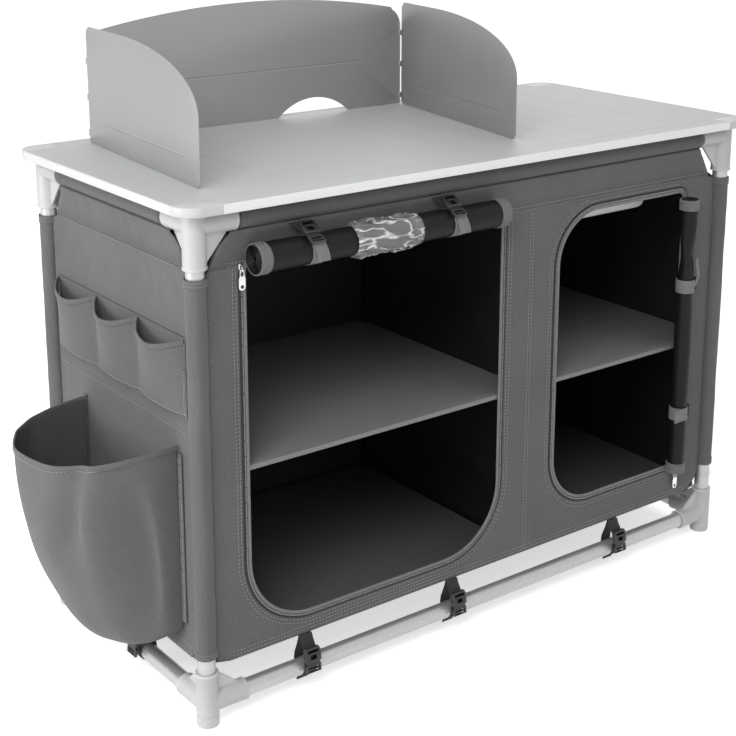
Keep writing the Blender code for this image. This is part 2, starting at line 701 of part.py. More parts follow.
def wing_outline(edge):
    # Hinge side at the left with a tab for each curl, falling front edge at the right.
    length, high, low, r = WING_LENGTH, WING_HEIGHT, WING_FRONT_HEIGHT, WING_FOOT_RADIUS
    foot = arc((length - r, r), r, 270, 360, 4)
    fall_start = length * 0.30
    fall = []
    for i in range(11):
        a = math.radians(90 * i / 10)
        along = fall_start + (length - fall_start) * math.cos(a) ** 0.9
        fall.append((along, low + (high - low) * math.sin(a) ** 0.9))
    top = arc((edge + WING_TOP_RADIUS, high - WING_TOP_RADIUS), WING_TOP_RADIUS, 90, 180, 4)
    heel_r = LOWEST_CURL * 0.8
    heel = arc((edge + heel_r, heel_r), heel_r, 180, 270, 3)
    tabs = []
    for start, end in curl_bands():
        tabs += [(edge, start), (0, start), (0, end), (edge, end)]
    return heel + foot + fall + top + list(reversed(tabs))


def add_rib(part, name, low, high, outer, holder=None):
    # A pressed rib along local X: proud on the outer face, hollow on the inner one. Each end is
    # an (x, height) pair, and outer is the side of the sheet that the rib stands out of.
    half = RIB_WIDTH / 2
    groove_half = half - SHIELD_SHEET * 0.6
    forms = (("rib", SHIELD_SHEET / 2 + RIB_DEPTH, half), ("groove", SHIELD_SHEET, groove_half))
    for tag, reach, width in forms:
        ends = rounded_rectangle((low[0], low[1] - width), (high[0], high[1] + width), [width * 0.98] * 4, 3)
        mesh = plate_mesh(f"{name}_{tag}", ends, reach)
        side = outer if tag == "rib" else -outer
        inset = 0 if tag == "rib" else SHIELD_SHEET / 2 - RIB_DEPTH + GAP / 3
        place = (0, side * (reach / 2 + inset), 0)
        guide = add_guide(f"{name}_{tag}", mesh, place, UPRIGHT, holder)
        (join if tag == "rib" else cut)(part, guide)


def add_pegs(panel, shield_line):
    # Two tongues below the back panel, which drop into slots in the rear rim.
    half_x, half_y = PEG_WIDTH / 2, SHIELD_SHEET / 2 - GAP / 3
    peg = box_mesh("peg", (-half_x, -half_y, -PEG_REACH), (half_x, half_y, PEG_REACH / 2))
    pegs = [(peg, (x, 0, 0), (0, 0, 0)) for x in peg_spots()]
    join(panel, add_guide("shield_pegs", placed_mesh("shield_pegs", pegs), parent=shield_line))


def cut_rear_arch(panel, shield_line):
    # A shallow arch in the lower edge, wide enough to lead a pipe through.
    half, rise = REAR_ARCH_WIDTH / 2, REAR_ARCH_RISE
    radius = (half * half + rise * rise) / (2 * rise)
    place = (HINGE_LEFT_X + REAR_ARCH_SETBACK + half, 0, rise - radius)
    arch = rod_mesh("rear_arch", radius, -RIB_WIDTH, RIB_WIDTH, 64)
    cut(panel, add_guide("rear_arch", arch, place, UPRIGHT, shield_line))


def cut_hinge_slots(panel, shield_line):
    # One slot for each curl, with a narrow strip left outside it for the curl to turn round.
    slots = []
    for hinge_x, inward in ((HINGE_LEFT_X, 1), (HINGE_RIGHT_X, -1)):
        near = hinge_x + inward * HINGE_STRIP / 2
        x0, x1 = sorted((near, near + inward * HINGE_SLOT))
        for start, end in curl_bands(-GAP):
            slot = box_mesh("slot", (x0, -RIB_WIDTH, start), (x1, RIB_WIDTH, end))
            slots.append((slot, (0, 0, 0), (0, 0, 0)))
    cut(panel, add_guide("hinge_slots", placed_mesh("hinge_slots", slots), parent=shield_line))


def make_back_panel():
    sheet = plate_mesh("windshield_back", back_panel_outline(), SHIELD_SHEET)
    panel = add_part("windshield_back", sheet, "steel_sheet", (0, HINGE_Y, 0), UPRIGHT)
    line = add_empty("windshield_line", (0, HINGE_Y, SHIELD_FOOT))
    add_pegs(panel, line)
    low = (HINGE_LEFT_X + SHIELD_RIB_MARGIN, SHIELD_RIB_HEIGHT)
    add_rib(panel, "back", low, (HINGE_RIGHT_X - SHIELD_RIB_MARGIN, SHIELD_RIB_HEIGHT), 1, line)
    cut_rear_arch(panel, line)
    cut_hinge_slots(panel, line)


def add_curls(wing, name, pivot):
    # Each curl is a hair shorter than its tab, so the two meet without sharing a plane.
    curls = []
    for i, (low, high) in enumerate(curl_bands(GAP / 3)):
        curls.append((rod_mesh(f"{name}_curl_{i}", CURL_RADIUS, low, high, 16), (0, 0, 0), (0, 0, 0)))
    join(wing, add_guide(f"{name}_curls", placed_mesh(f"{name}_curls", curls), parent=pivot))


def add_empty(name, location, turn=0.0):
    empty = bpy.data.objects.new(name, None)
    empty.location = location
    empty.rotation_euler = (0, 0, turn)
    empty.parent = ORIGIN
    PARTS.objects.link(empty)
    return empty


def make_wing(side, hinge_x, turn_degrees):
    # Built along local X from its hinge axis, then swung forward by the turn. Its curls pass
    # through the back panel's slots and turn round the strip outside them.
    pivot = add_empty(f"wing_pivot_{side}", (hinge_x, HINGE_Y, SHIELD_FOOT), math.radians(turn_degrees))
    outer = -1 if side == "left" else 1
    name = f"windshield_wing_{side}"
    sheet = plate_mesh(name, wing_outline(CURL_RADIUS + GAP), SHIELD_SHEET)
    face = add_empty(f"wing_face_{side}", (0, outer * SHEET_OFFSET, 0))
    face.parent = pivot
    wing = add_part(name, sheet, "steel_sheet", (0, 0, 0), UPRIGHT, face)
    add_curls(wing, name, pivot)
    rib_end = (WING_LENGTH - WING_RIB_MARGIN, WING_RIB_HEIGHT)
    add_rib(wing, name, (WING_RIB_START, WING_RIB_HEIGHT), rib_end, outer, face)
    bore = rod_mesh(f"{name}_bore", CURL_BORE, 0, WING_HEIGHT, 16)
    cut(wing, add_guide(f"{name}_bore", bore, parent=pivot))


def make_windshield():
    make_back_panel()
    make_wing("left", HINGE_LEFT_X, -90 - LEFT_WING_SPREAD)
    make_wing("right", HINGE_RIGHT_X, -90 - RIGHT_WING_TOE_IN)


def long_panel_outline():
    # Front and back fabric: corners cut clear of the connectors, hem raised at the legs.
    x_leg = LEG_X
    x_hem = LEG_X - PANEL_CORNER_CUT
    x_rail = LEG_X - RAIL_SLEEVE_INSET - FABRIC
    x_in = x_leg + TUBE_R * 0.3
    half = [(x_hem, HEM_HEIGHT), (x_leg - SLEEVE_R * 1.3, HEM_HEIGHT + 0.006),
            (x_in, LEG_SLEEVE_BOTTOM + FABRIC), (x_in, LEG_SLEEVE_TOP - FABRIC),
            (x_leg - PANEL_CORNER_CUT, LEG_SLEEVE_TOP + 0.004), (x_rail, TOP_RAIL_Z)]
    return half + [(-x, z) for x, z in reversed(half)]


def add_sleeves(panel, tag, legs, rail_half, rail_place, rail_turn):
    # Tunnels sewn round the rail and the legs, opened together by one set of bores.
    tunnel = rod_mesh(f"{tag}_rail_tunnel", SLEEVE_R, -rail_half, rail_half)
    bore = rod_mesh(f"{tag}_rail_bore", BORE_R, -rail_half - SLEEVE_R, rail_half + SLEEVE_R)
    leg_tunnel = rod_mesh(f"{tag}_leg_tunnel", SLEEVE_R, LEG_SLEEVE_BOTTOM, LEG_SLEEVE_TOP)
    leg_bore = rod_mesh(f"{tag}_leg_bore", BORE_R, 0, WORKTOP_HEIGHT)
    upright = (0, 0, 0)
    tunnels = [(tunnel, rail_place, rail_turn)] + [(leg_tunnel, place, upright) for place in legs]
    bores = [(bore, rail_place, rail_turn)] + [(leg_bore, place, upright) for place in legs]
    join(panel, add_guide(f"{tag}_tunnels", placed_mesh(f"{tag}_tunnels", tunnels)))
    cut(panel, add_guide(f"{tag}_bores", placed_mesh(f"{tag}_bores", bores)))


def door_holes():
    left = rounded_rectangle((LEFT_DOOR_X, LEFT_DOOR_BOTTOM), (POST_X, LEFT_DOOR_TOP),
                             [LEFT_DOOR_RADIUS, LEFT_DOOR_RADIUS, DOOR_TOP_RADIUS, DOOR_TOP_RADIUS], 6)
    right_high = (RIGHT_DOOR_X + RIGHT_DOOR_WIDTH, RIGHT_DOOR_TOP)
    right = rounded_rectangle((RIGHT_DOOR_X, RIGHT_DOOR_BOTTOM), right_high,
                              [RIGHT_DOOR_RADIUS, DOOR_TOP_RADIUS, DOOR_TOP_RADIUS, RIGHT_DOOR_RADIUS], 6)
    return [left, right]


def shelf_ledges():
    # Spans of the two shelves in X, between the side panels and the divider.
    wall = FABRIC / 2 + GAP
    return [("left", -LEG_X + wall, DIVIDER_X - wall), ("right", DIVIDER_X + wall, LEG_X - wall)]


def add_ledges(panel, tag, spans):
    boxes = [(box_mesh(f"{tag}_ledge", low, high), (0, 0, 0), (0, 0, 0)) for low, high in spans]
    join(panel, add_guide(f"{tag}_ledges", placed_mesh(f"{tag}_ledges", boxes)))


def make_long_panels():
    rail_half = LEG_X - RAIL_SLEEVE_INSET
    ledge_top = SHELF_HEIGHT - SHELF_THICKNESS - GAP
    for row, sign, holes in (("front", -1, door_holes()), ("back", 1, [])):
        mesh = plate_mesh(f"cabinet_{row}", long_panel_outline(), FABRIC, holes)
        panel = add_part(f"cabinet_{row}", mesh, "canvas", (0, sign * LEG_Y, 0), UPRIGHT)
        if row == "back":
            spans = []
            for tag, x0, x1 in shelf_ledges():
                low = (x0 + SHELF_CORNER, LEG_Y - SHELF_LEDGE, ledge_top - FABRIC)
                spans.append((low, (x1 - SHELF_CORNER, LEG_Y, ledge_top)))
            add_ledges(panel, "back", spans)
        legs = [(side * LEG_X, sign * LEG_Y, 0) for side in (-1, 1)]
        add_sleeves(panel, row, legs, rail_half, (0, sign * LEG_Y, TOP_RAIL_Z), ALONG_X)


def side_panel_outline():
    y_leg = LEG_Y - SLEEVE_R - GAP
    y_rail = LEG_Y - RAIL_SLEEVE_INSET - FABRIC
    half = [(y_leg, HEM_HEIGHT + 0.012), (y_leg, LEG_SLEEVE_TOP), (y_rail, TOP_RAIL_Z)]
    return half + [(-y, z) for y, z in reversed(half)]


def make_side_panels():
    rail_half = LEG_Y - RAIL_SLEEVE_INSET
    ledge_top = SHELF_HEIGHT - SHELF_THICKNESS - GAP
    for side, sign in (("left", -1), ("right", 1)):
        mesh = plate_mesh(f"cabinet_{side}", side_panel_outline(), FABRIC)
        panel = add_part(f"cabinet_{side}", mesh, "canvas", (sign * LEG_X, 0, 0), SIDEWAYS)
        x0, x1 = sorted((sign * LEG_X, sign * (LEG_X - SHELF_LEDGE)))
        y = LEG_Y - SHELF_LEDGE * 2
        add_ledges(panel, f"side_{side}", [((x0, -y, ledge_top - FABRIC), (x1, y, ledge_top))])
        add_sleeves(panel, side, [], rail_half, (sign * LEG_X, 0, TOP_RAIL_Z), ALONG_Y)


def make_inner_fabric():
    # The bottom sheet with the divider sewn up from it, and the divider's ledges for the shelves.
    ledge_top = SHELF_HEIGHT - SHELF_THICKNESS - GAP
    x, y = LEG_X - FABRIC / 2 - GAP, LEG_Y - FABRIC / 2 - GAP
    outline = rounded_rectangle((-x, -y), (x, y), [SHELF_CORNER] * 4)
    bottom = plate_mesh("cabinet_inner", outline, FABRIC)
    panel = add_part("cabinet_inner", bottom, "canvas", (0, 0, HEM_HEIGHT))
    top = TOP_RAIL_Z - SLEEVE_R - GAP
    ledge_y = LEG_Y - SHELF_LEDGE * 2
    upright = ((DIVIDER_X - FABRIC / 2, -y + GAP, HEM_HEIGHT), (DIVIDER_X + FABRIC / 2, y - GAP, top))
    ledge_low = (DIVIDER_X - SHELF_LEDGE, -ledge_y, ledge_top - FABRIC)
    ledge = (ledge_low, (DIVIDER_X + SHELF_LEDGE, ledge_y, ledge_top))
    for tag, (low, high) in (("divider", upright), ("divider_ledge", ledge)):
        join(panel, add_guide(tag, box_mesh(tag, low, high)))
    join_back_ties(panel)


def make_shelves():
    y_front = -LEG_Y + FABRIC / 2 + GAP
    y_back = LEG_Y - FABRIC / 2 - GAP
    for tag, x0, x1 in shelf_ledges():
        outline = rounded_rectangle((x0, y_front), (x1, y_back), [SHELF_CORNER] * 4)
        shelf = plate_mesh(f"shelf_{tag}", outline, SHELF_THICKNESS)
        board = add_part(f"shelf_{tag}", shelf, "shelf_board", (0, 0, SHELF_HEIGHT - SHELF_THICKNESS / 2))
        bevel(board, EDGE_BEVEL, 1, 60)
        floor = plate_mesh(f"floor_board_{tag}", outline, FLOOR_THICKNESS)
        floor_z = HEM_HEIGHT + FABRIC / 2 + GAP + FLOOR_THICKNESS / 2
        add_part(f"floor_board_{tag}", floor, "shelf_board", (0, 0, floor_z))


def roll_profile(length, straps):
    # Hem bands at both ends, straps round the middle and stepped layers on the end faces.
    r = ROLL_RADIUS
    hem = r + ROLL_HEM_PROUD
    strap = r + ROLL_STRAP_PROUD
    side = [(hem, length), (hem, length - ROLL_HEM), (r, length - ROLL_HEM - ROLL_HEM_PROUD)]
    for centre in sorted(straps, reverse=True):
        high, low = centre + ROLL_STRAP_WIDTH / 2, centre - ROLL_STRAP_WIDTH / 2
        side += [(r, high), (strap, high), (strap, low), (r, low)]
    side += [(r, ROLL_HEM + ROLL_HEM_PROUD), (hem, ROLL_HEM), (hem, 0)]
    edge = r - ROLL_LAYER * 0.4
    face = []
    while edge > ROLL_LAYER:
        face += [(edge, 0), (edge - ROLL_LAYER * 0.4, ROLL_LAYER_DEPTH)]
        edge -= ROLL_LAYER
    low_face = face + [(0, ROLL_LAYER_DEPTH)]
    high_face = [(radius, length - z) for radius, z in low_face]
    return list(reversed(high_face)) + side + low_face


def make_rolls():
    straps = [LEFT_DOOR_WIDTH * share for share in LEFT_STRAP_SHARES]
    left = turned_mesh("left_door_roll", roll_profile(LEFT_DOOR_WIDTH, straps), ROLL_SIDES)
    add_part("left_door_roll", left, "canvas", (LEFT_DOOR_X, ROLL_Y, LEFT_ROLL_HEIGHT), ALONG_X)
    straps = [RIGHT_ROLL_LENGTH * share for share in RIGHT_STRAP_SHARES]
    right = turned_mesh("right_door_roll", roll_profile(RIGHT_ROLL_LENGTH, straps), ROLL_SIDES)
    right_x = RIGHT_DOOR_X + RIGHT_DOOR_WIDTH + RIGHT_ROLL_OFFSET
    add_part("right_door_roll", right, "canvas", (right_x, ROLL_Y, RIGHT_ROLL_BOTTOM))


def pocket_section(inset, count, pitch):
    # Flat back, one bulge for each pocket, in the XY plane with the back on X = 0.
    half = count * pitch / 2
    points = [(-inset, half - inset), (-inset, -half + inset)]
    for i in range(count):
        start = -half + i * pitch
        for k in range(1, 8):
            t = k / 8
            reach = POCKET_WALL * 2 + POCKET_BULGE * math.sin(math.pi * t) ** 0.7
            points.append((inset - reach, start + pitch * t))
        if i < count - 1:
            points.append((-POCKET_WALL * 2 + inset, start + pitch))
    return points


def make_cutlery_pocket():
    # Three bulged pockets side by side, each hollowed from above.
    height = POCKET_TOP - POCKET_BOTTOM
    mesh = plate_mesh("cutlery_pocket", pocket_section(0, POCKET_COUNT, POCKET_PITCH), height)
    middle = (POCKET_TOP + POCKET_BOTTOM) / 2
    pocket = add_part("cutlery_pocket", mesh, "canvas", (LEFT_FACE - GAP, 0, middle))
    hollow = plate_mesh("pocket_hollow", pocket_section(POCKET_WALL, 1, POCKET_PITCH), height)
    for i in range(POCKET_COUNT):
        y = (i - (POCKET_COUNT - 1) / 2) * POCKET_PITCH
        cut(pocket, add_guide(f"pocket_hollow_{i}", hollow, (LEFT_FACE - GAP, y, middle + POCKET_WALL)))


def bag_reach(t):
    # How far the bag stands out at a share t of its height, from sole to mouth.
    return BAG_REACH * (0.30 + 0.70 * math.sin(math.radians(90 * t)) ** 0.62) if t > 0 else BAG_REACH * 0.30


def bag_ring(t, inset):
    z = BAG_BOTTOM + (BAG_MOUTH - BAG_BOTTOM) * t
    reach = bag_reach(t) - inset
    half = BAG_WIDTH / 2 - inset
    points = []
    for i in range(17):
        a = math.pi * i / 16
        y = math.copysign(abs(math.cos(a)) ** 0.85, math.cos(a)) * half
        x = BAG_BACK - inset - (reach - inset) * math.sin(a) ** 0.75
        droop = BAG_DROOP * math.sin(a) * t
        lift = BAG_SOLE_LIFT * (1 - math.sin(a)) * (1 - t)
        points.append((x, BAG_Y + y, z - droop + lift))
    return points


def make_bottle_bag():
    # An open-topped bag sewn to the side panel: outer skin from sole to mouth, then the inner one back.
    steps = (0.0, 0.08, 0.22, 0.45, 0.72, 1.0)
    outer = [bag_ring(t, 0) for t in steps]
    inner = [bag_ring(t, BAG_WALL) for t in reversed(steps[1:])]
    lift = BAG_WALL
    sole = [(x, y, z + lift) for x, y, z in bag_ring(0.0, BAG_WALL)]
    add_part("bottle_bag", loft_mesh("bottle_bag", outer + inner + [sole]), "canvas")


def tie_mesh(name, top=TIE_TOP):
    # A webbing loop hung under the hem, seen from the end, with its release buckle in front.
    low, half = TIE_LOOP_BOTTOM, TIE_LOOP_HALF_WIDTH
    inner_top = top - TIE_WEBBING
    wide = half + TIE_WEBBING
    outer = rounded_rectangle((-wide, low), (wide, top), [wide * 0.98, wide * 0.98, 0.006, 0.006])
    radii = [half * 0.98, half * 0.98, 0.004, 0.004]
    inner = rounded_rectangle((-half, low + TIE_WEBBING), (half, inner_top), radii)
    return plate_mesh(name, outer, TIE_WIDTH, [inner])


def buckle_mesh(name):
    # Seen from the front: a waisted body with two side prongs' shoulders.
    w, h = BUCKLE_WIDTH / 2, BUCKLE_LENGTH / 2
    half = [(w * 0.8, -h), (w, -h * 0.75), (w, -h * 0.2), (w * 0.72, 0), (w, h * 0.25),
            (w, h * 0.8), (w * 0.8, h)]
    return plate_mesh(name, half + [(-x, y) for x, y in reversed(half)], BUCKLE_THICKNESS)


def buckle_place():
    return (0, -TIE_LOOP_HALF_WIDTH - BUCKLE_THICKNESS / 2, (TIE_TOP + LOW_RAIL_HEIGHT) / 2 - 0.008)


def add_tie(name, place, turn):
    # turn swings the loop so that its buckle faces outwards
    spot = add_empty(name + "_spot", (*place, 0), turn)
    tie = add_part(name, tie_mesh(name), "webbing", rotation=SIDEWAYS, parent=spot)
    join(tie, add_guide(name + "_buckle", buckle_mesh(name + "_buckle"), buckle_place(), UPRIGHT, spot))


def join_back_ties(bottom):
    # The two ties at the back are sewn into the edge of the bottom sheet and are one piece with it.
    loops, buckles = [], []
    for setback in BACK_TIE_SETBACKS:
        place = Vector((-HALF_LENGTH + setback, LEG_Y, 0))
        loops.append((tie_mesh("tie_back", HEM_HEIGHT), place, (math.pi / 2, 0, math.pi / 2)))
        turned = Matrix.Rotation(math.pi, 3, "Z") @ Vector(buckle_place())
        buckles.append((buckle_mesh("tie_back_buckle"), place + turned, (math.pi / 2, 0, math.pi)))
    join(bottom, add_guide("ties_back", placed_mesh("ties_back", loops)))
    join(bottom, add_guide("ties_back_buckles", placed_mesh("ties_back_buckles", buckles)))


def make_ties():
    for i, setback in enumerate(FRONT_TIE_SETBACKS):
        add_tie(f"tie_front_{i + 1}", (-HALF_LENGTH + setback, -LEG_Y), 0)
    y = -HALF_DEPTH + SIDE_TIE_SETBACK
    add_tie("tie_left", (-LEG_X, y), -QUARTER)
    add_tie("tie_right", (LEG_X, y), QUARTER)


def zip_bridge_section(face):
    # A staple over the slider, seen from the side in (Y, Z), with the slider body behind it.
    body = face - SLIDER_THICKNESS
    inner = body - BRIDGE_HOLLOW
    outer = inner - BRIDGE_THICKNESS
    half = BRIDGE_LENGTH / 2
    foot = half - BRIDGE_THICKNESS
    seat = body + SLIDER_THICKNESS / 2
    return [(seat, -half), (seat, -foot), (inner, -foot), (inner, foot), (seat, foot), (seat, half),
            (outer, half), (outer, -half)]


def make_zip(side, x, z):
    # The slider body lies on the fabric. Its pull is caught under the bridge by a cross bar.
    face = FRONT_FACE - GAP
    w, h = SLIDER_WIDTH / 2, SLIDER_LENGTH / 2
    body = box_mesh(f"{side}_zip_slider", (-w, face - SLIDER_THICKNESS, -h), (w, face, h))
    slider = add_part(f"{side}_zip_slider", body, "zip_metal", (x, 0, z))
    bevel(slider, EDGE_BEVEL / 2, 1, 60)
    bridge = plate_mesh(f"{side}_zip_bridge", zip_bridge_section(face), BRIDGE_WIDTH)
    join(slider, add_guide(f"{side}_zip_bridge", bridge, (x, 0, z), SIDEWAYS))
    eye_y = face - SLIDER_THICKNESS - BRIDGE_HOLLOW / 2
    # the bar hangs on the lower foot of the bridge, with room for its corners to turn
    hang = BRIDGE_LENGTH / 2 - BRIDGE_THICKNESS - PULL_BAR * 0.75 - GAP / 2
    pivot = add_empty(f"{side}_zip_pull_pivot", (x, eye_y, z - hang))
    wide, bar, gap = PULL_WIDTH / 2, PULL_BAR / 2, PULL_WINDOW / 2
    outline = rounded_rectangle((-wide, -PULL_LENGTH), (wide, bar), [wide * 0.6, wide * 0.6, bar, bar], 3)
    low_edge = -hang - BRIDGE_LENGTH / 2 - PULL_BAR / 2
    window = [(-gap, low_edge), (gap, low_edge), (gap, -bar), (-gap, -bar)]
    ring = arc((0, -PULL_LENGTH + PULL_HOLE * 2.4), PULL_HOLE, 0, 360, 10)[:-1]
    mesh = plate_mesh(f"{side}_zip_pull", outline, PULL_THICKNESS, [window, ring])
    add_part(f"{side}_zip_pull", mesh, "zip_metal", rotation=UPRIGHT, parent=pivot)


def make_zips():
    make_zip("left", LEFT_DOOR_X - LEFT_ZIP_OFFSET, LEFT_ZIP_HEIGHT)
    right_x = RIGHT_DOOR_X + RIGHT_DOOR_WIDTH + RIGHT_ZIP_OFFSET
    make_zip("right", right_x, RIGHT_ROLL_BOTTOM - SLIDER_LENGTH / 2 - RIGHT_ZIP_DROP)


def main():
    make_tubes()
    make_corners()
    make_worktop_rims()
    make_worktop_frame()
    make_right_end()
    make_basin_seat()
    make_corner_caps()
    make_boards()
    make_basin()
    make_windshield()
    make_long_panels()
    make_side_panels()
    make_inner_fabric()
    make_shelves()
    make_rolls()
    make_cutlery_pocket()
    make_bottle_bag()
    make_ties()
    make_zips()


main()
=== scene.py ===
import bpy
import bmesh
import math
from mathutils import Euler, Matrix, Vector, noise


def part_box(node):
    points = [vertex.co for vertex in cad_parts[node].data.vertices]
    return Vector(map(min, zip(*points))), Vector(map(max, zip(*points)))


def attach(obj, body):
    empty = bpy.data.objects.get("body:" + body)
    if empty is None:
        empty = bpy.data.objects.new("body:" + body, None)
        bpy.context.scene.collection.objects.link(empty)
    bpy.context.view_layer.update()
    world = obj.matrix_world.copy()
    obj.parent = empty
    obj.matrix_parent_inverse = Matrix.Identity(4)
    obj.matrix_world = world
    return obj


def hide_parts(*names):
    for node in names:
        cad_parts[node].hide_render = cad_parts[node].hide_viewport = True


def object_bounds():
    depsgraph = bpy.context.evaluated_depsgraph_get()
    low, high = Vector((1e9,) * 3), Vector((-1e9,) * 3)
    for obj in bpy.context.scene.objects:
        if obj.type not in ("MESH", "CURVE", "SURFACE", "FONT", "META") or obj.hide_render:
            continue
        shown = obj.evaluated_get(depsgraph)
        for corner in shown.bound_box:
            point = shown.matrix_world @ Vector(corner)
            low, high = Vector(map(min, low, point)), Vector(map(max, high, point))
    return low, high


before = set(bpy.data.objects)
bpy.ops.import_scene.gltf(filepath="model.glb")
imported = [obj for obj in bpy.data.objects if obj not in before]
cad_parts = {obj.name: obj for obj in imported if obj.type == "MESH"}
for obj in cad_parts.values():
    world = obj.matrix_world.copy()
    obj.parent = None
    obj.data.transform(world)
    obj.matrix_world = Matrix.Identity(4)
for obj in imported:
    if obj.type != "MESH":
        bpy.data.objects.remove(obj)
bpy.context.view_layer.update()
print("frame loaded:", len(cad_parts), "solids")

# The unit is drawn about the middle of its worktop, on the ground
legBoxes = [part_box(f"leg_{row}_{side}") for row in ("front", "back") for side in ("left", "right")]
unitX, unitY = [sum(low[axis] + high[axis] for low, high in legBoxes) / (2 * len(legBoxes))
                for axis in (0, 1)]
place = Vector((unitX, unitY, 0))


def middleOf(nodeName, axis):
    low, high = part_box(nodeName)
    return (low[axis] + high[axis]) / 2


def unitBox(nodeName):
    # a solid's box, seen from the middle of the unit
    return [Vector(corner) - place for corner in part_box(nodeName)]


legX = middleOf("leg_front_right", 0) - unitX
legY = middleOf("leg_back_left", 1) - unitY
railZ = middleOf("top_rail_front", 2)
lowZ = middleOf("low_rail_front", 2)
tubeR = (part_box("leg_front_left")[1][0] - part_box("leg_front_left")[0][0]) / 2
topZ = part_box("worktop_frame")[1][2]
capLow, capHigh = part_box("corner_cap_front_left")[0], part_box("corner_cap_back_right")[1]
halfLength = (capHigh[0] - capLow[0]) / 2
halfDepth = (capHigh[1] - capLow[1]) / 2
clothProud = 0.0013  # outer face of the panels, past the legs' axes
frontFace = -legY - clothProud
leftFace = -legX - clothProud


# Shader building blocks
def shaderGroup(name, inputs, outputs, build):
    group = bpy.data.node_groups.new(name, "ShaderNodeTree")
    for label, value in inputs:
        socket = group.interface.new_socket(label, in_out="INPUT", socket_type="NodeSocketFloat")
        socket.default_value = value
    for label in outputs:
        group.interface.new_socket(label, in_out="OUTPUT", socket_type="NodeSocketFloat")
    enter = group.nodes.new("NodeGroupInput")
    leave = group.nodes.new("NodeGroupOutput")
    build(group, enter, leave)
    return group


def node(tree, kind, **values):
    made = tree.nodes.new(kind)
    for key, value in values.items():
        setattr(made, key, value)
    return made


def maths(tree, operation, a, b=None):
    made = node(tree, "ShaderNodeMath", operation=operation)
    for index, value in enumerate((a, b)):
        if value is None:
            continue
        if isinstance(value, (int, float)):
            made.inputs[index].default_value = value
        else:
            tree.links.new(value, made.inputs[index])
    return made.outputs[0]


def noiseValue(tree, vector, scale, detail=2.0):
    made = node(tree, "ShaderNodeTexNoise")
    made.inputs["Detail"].default_value = detail
    tree.links.new(vector, made.inputs["Vector"])
    if isinstance(scale, (int, float)):
        made.inputs["Scale"].default_value = scale
    else:
        tree.links.new(scale, made.inputs["Scale"])
    return made.outputs["Fac"]


def remap(tree, value, low, high, newLow=0.0, newHigh=1.0):
    made = node(tree, "ShaderNodeMapRange")
    tree.links.new(value, made.inputs["Value"])
    for label, number in (("From Min", low), ("From Max", high), ("To Min", newLow), ("To Max", newHigh)):
        made.inputs[label].default_value = number
    return made.outputs["Result"]


def buildWeave(tree, enter, leave):
    # plain weave seen on upright and level faces alike, with a melange fleck in the yarn
    spot = node(tree, "ShaderNodeTexCoord").outputs["Object"]
    split = node(tree, "ShaderNodeSeparateXYZ")
    tree.links.new(spot, split.inputs[0])
    across = maths(tree, "ADD", split.outputs["X"], split.outputs["Y"])
    turns = maths(tree, "MULTIPLY", enter.outputs["Threads"], 2 * math.pi)
    warp = maths(tree, "SINE", maths(tree, "MULTIPLY", across, turns))
    weft = maths(tree, "SINE", maths(tree, "MULTIPLY", split.outputs["Z"], turns))
    height = maths(tree, "MULTIPLY_ADD", maths(tree, "MULTIPLY", warp, weft), 0.5)
    height.node.inputs[2].default_value = 0.5
    fleck = remap(tree, noiseValue(tree, spot, enter.outputs["Fleck"], 3.0), 0.35, 0.65)
    cloud = remap(tree, noiseValue(tree, spot, 9.0, 3.0), 0.3, 0.7)
    tree.links.new(fleck, leave.inputs["Fleck"])
    tree.links.new(cloud, leave.inputs["Cloud"])
    tree.links.new(height, leave.inputs["Height"])


def buildBrush(tree, enter, leave):
    # long fine scratches along one direction, for rolled sheet, tube and laminate
    spot = node(tree, "ShaderNodeTexCoord").outputs["Object"]
    stretch = node(tree, "ShaderNodeMapping")
    tree.links.new(spot, stretch.inputs["Vector"])
    size = node(tree, "ShaderNodeCombineXYZ")
    for axis in "XYZ":
        tree.links.new(enter.outputs["Along " + axis], size.inputs[axis])
    tree.links.new(size.outputs[0], stretch.inputs["Scale"])
    streak = remap(tree, noiseValue(tree, stretch.outputs[0], 1.0, 4.0), 0.3, 0.7)
    tree.links.new(streak, leave.inputs["Streak"])


def buildWear(tree, enter, leave):
    # rubbed edges, and soft smudges over the faces
    spot = node(tree, "ShaderNodeTexCoord").outputs["Object"]
    bend = node(tree, "ShaderNodeNewGeometry").outputs["Pointiness"]
    broken = noiseValue(tree, spot, 160.0, 4.0)
    edge = remap(tree, maths(tree, "MULTIPLY_ADD", broken, 0.06), 0.53, 0.60)
    tree.links.new(bend, edge.node.inputs["Value"].links[0].from_node.inputs[2])
    tree.links.new(maths(tree, "MULTIPLY", edge, enter.outputs["Amount"]), leave.inputs["Edge"])
    smudge = remap(tree, noiseValue(tree, spot, 14.0, 5.0), 0.42, 0.72)
    tree.links.new(maths(tree, "MULTIPLY", smudge, enter.outputs["Amount"]), leave.inputs["Smudge"])


weaveGroup = shaderGroup("clothWeave", [("Threads", 1100.0), ("Fleck", 800.0)],
                         ["Fleck", "Cloud", "Height"], buildWeave)
brushGroup = shaderGroup("brushStreaks", [("Along X", 900.0), ("Along Y", 900.0), ("Along Z", 4.0)],
                         ["Streak"], buildBrush)
wearGroup = shaderGroup("wearAndSmudge", [("Amount", 1.0)], ["Edge", "Smudge"], buildWear)


def newFinish(name, roughness=0.5, metallic=0.0, **sockets):
    material = bpy.data.materials.new(name)
    material.use_nodes = True
    shader = material.node_tree.nodes["Principled BSDF"]
    shader.inputs["Roughness"].default_value = roughness
    shader.inputs["Metallic"].default_value = metallic
    for label, value in sockets.items():
        shader.inputs[label.replace("_", " ")].default_value = value
    return material, material.node_tree, shader


def useGroup(tree, group, **values):
    made = node(tree, "ShaderNodeGroup", node_tree=group)
    for label, value in values.items():
        made.inputs[label.replace("_", " ")].default_value = value
    return made


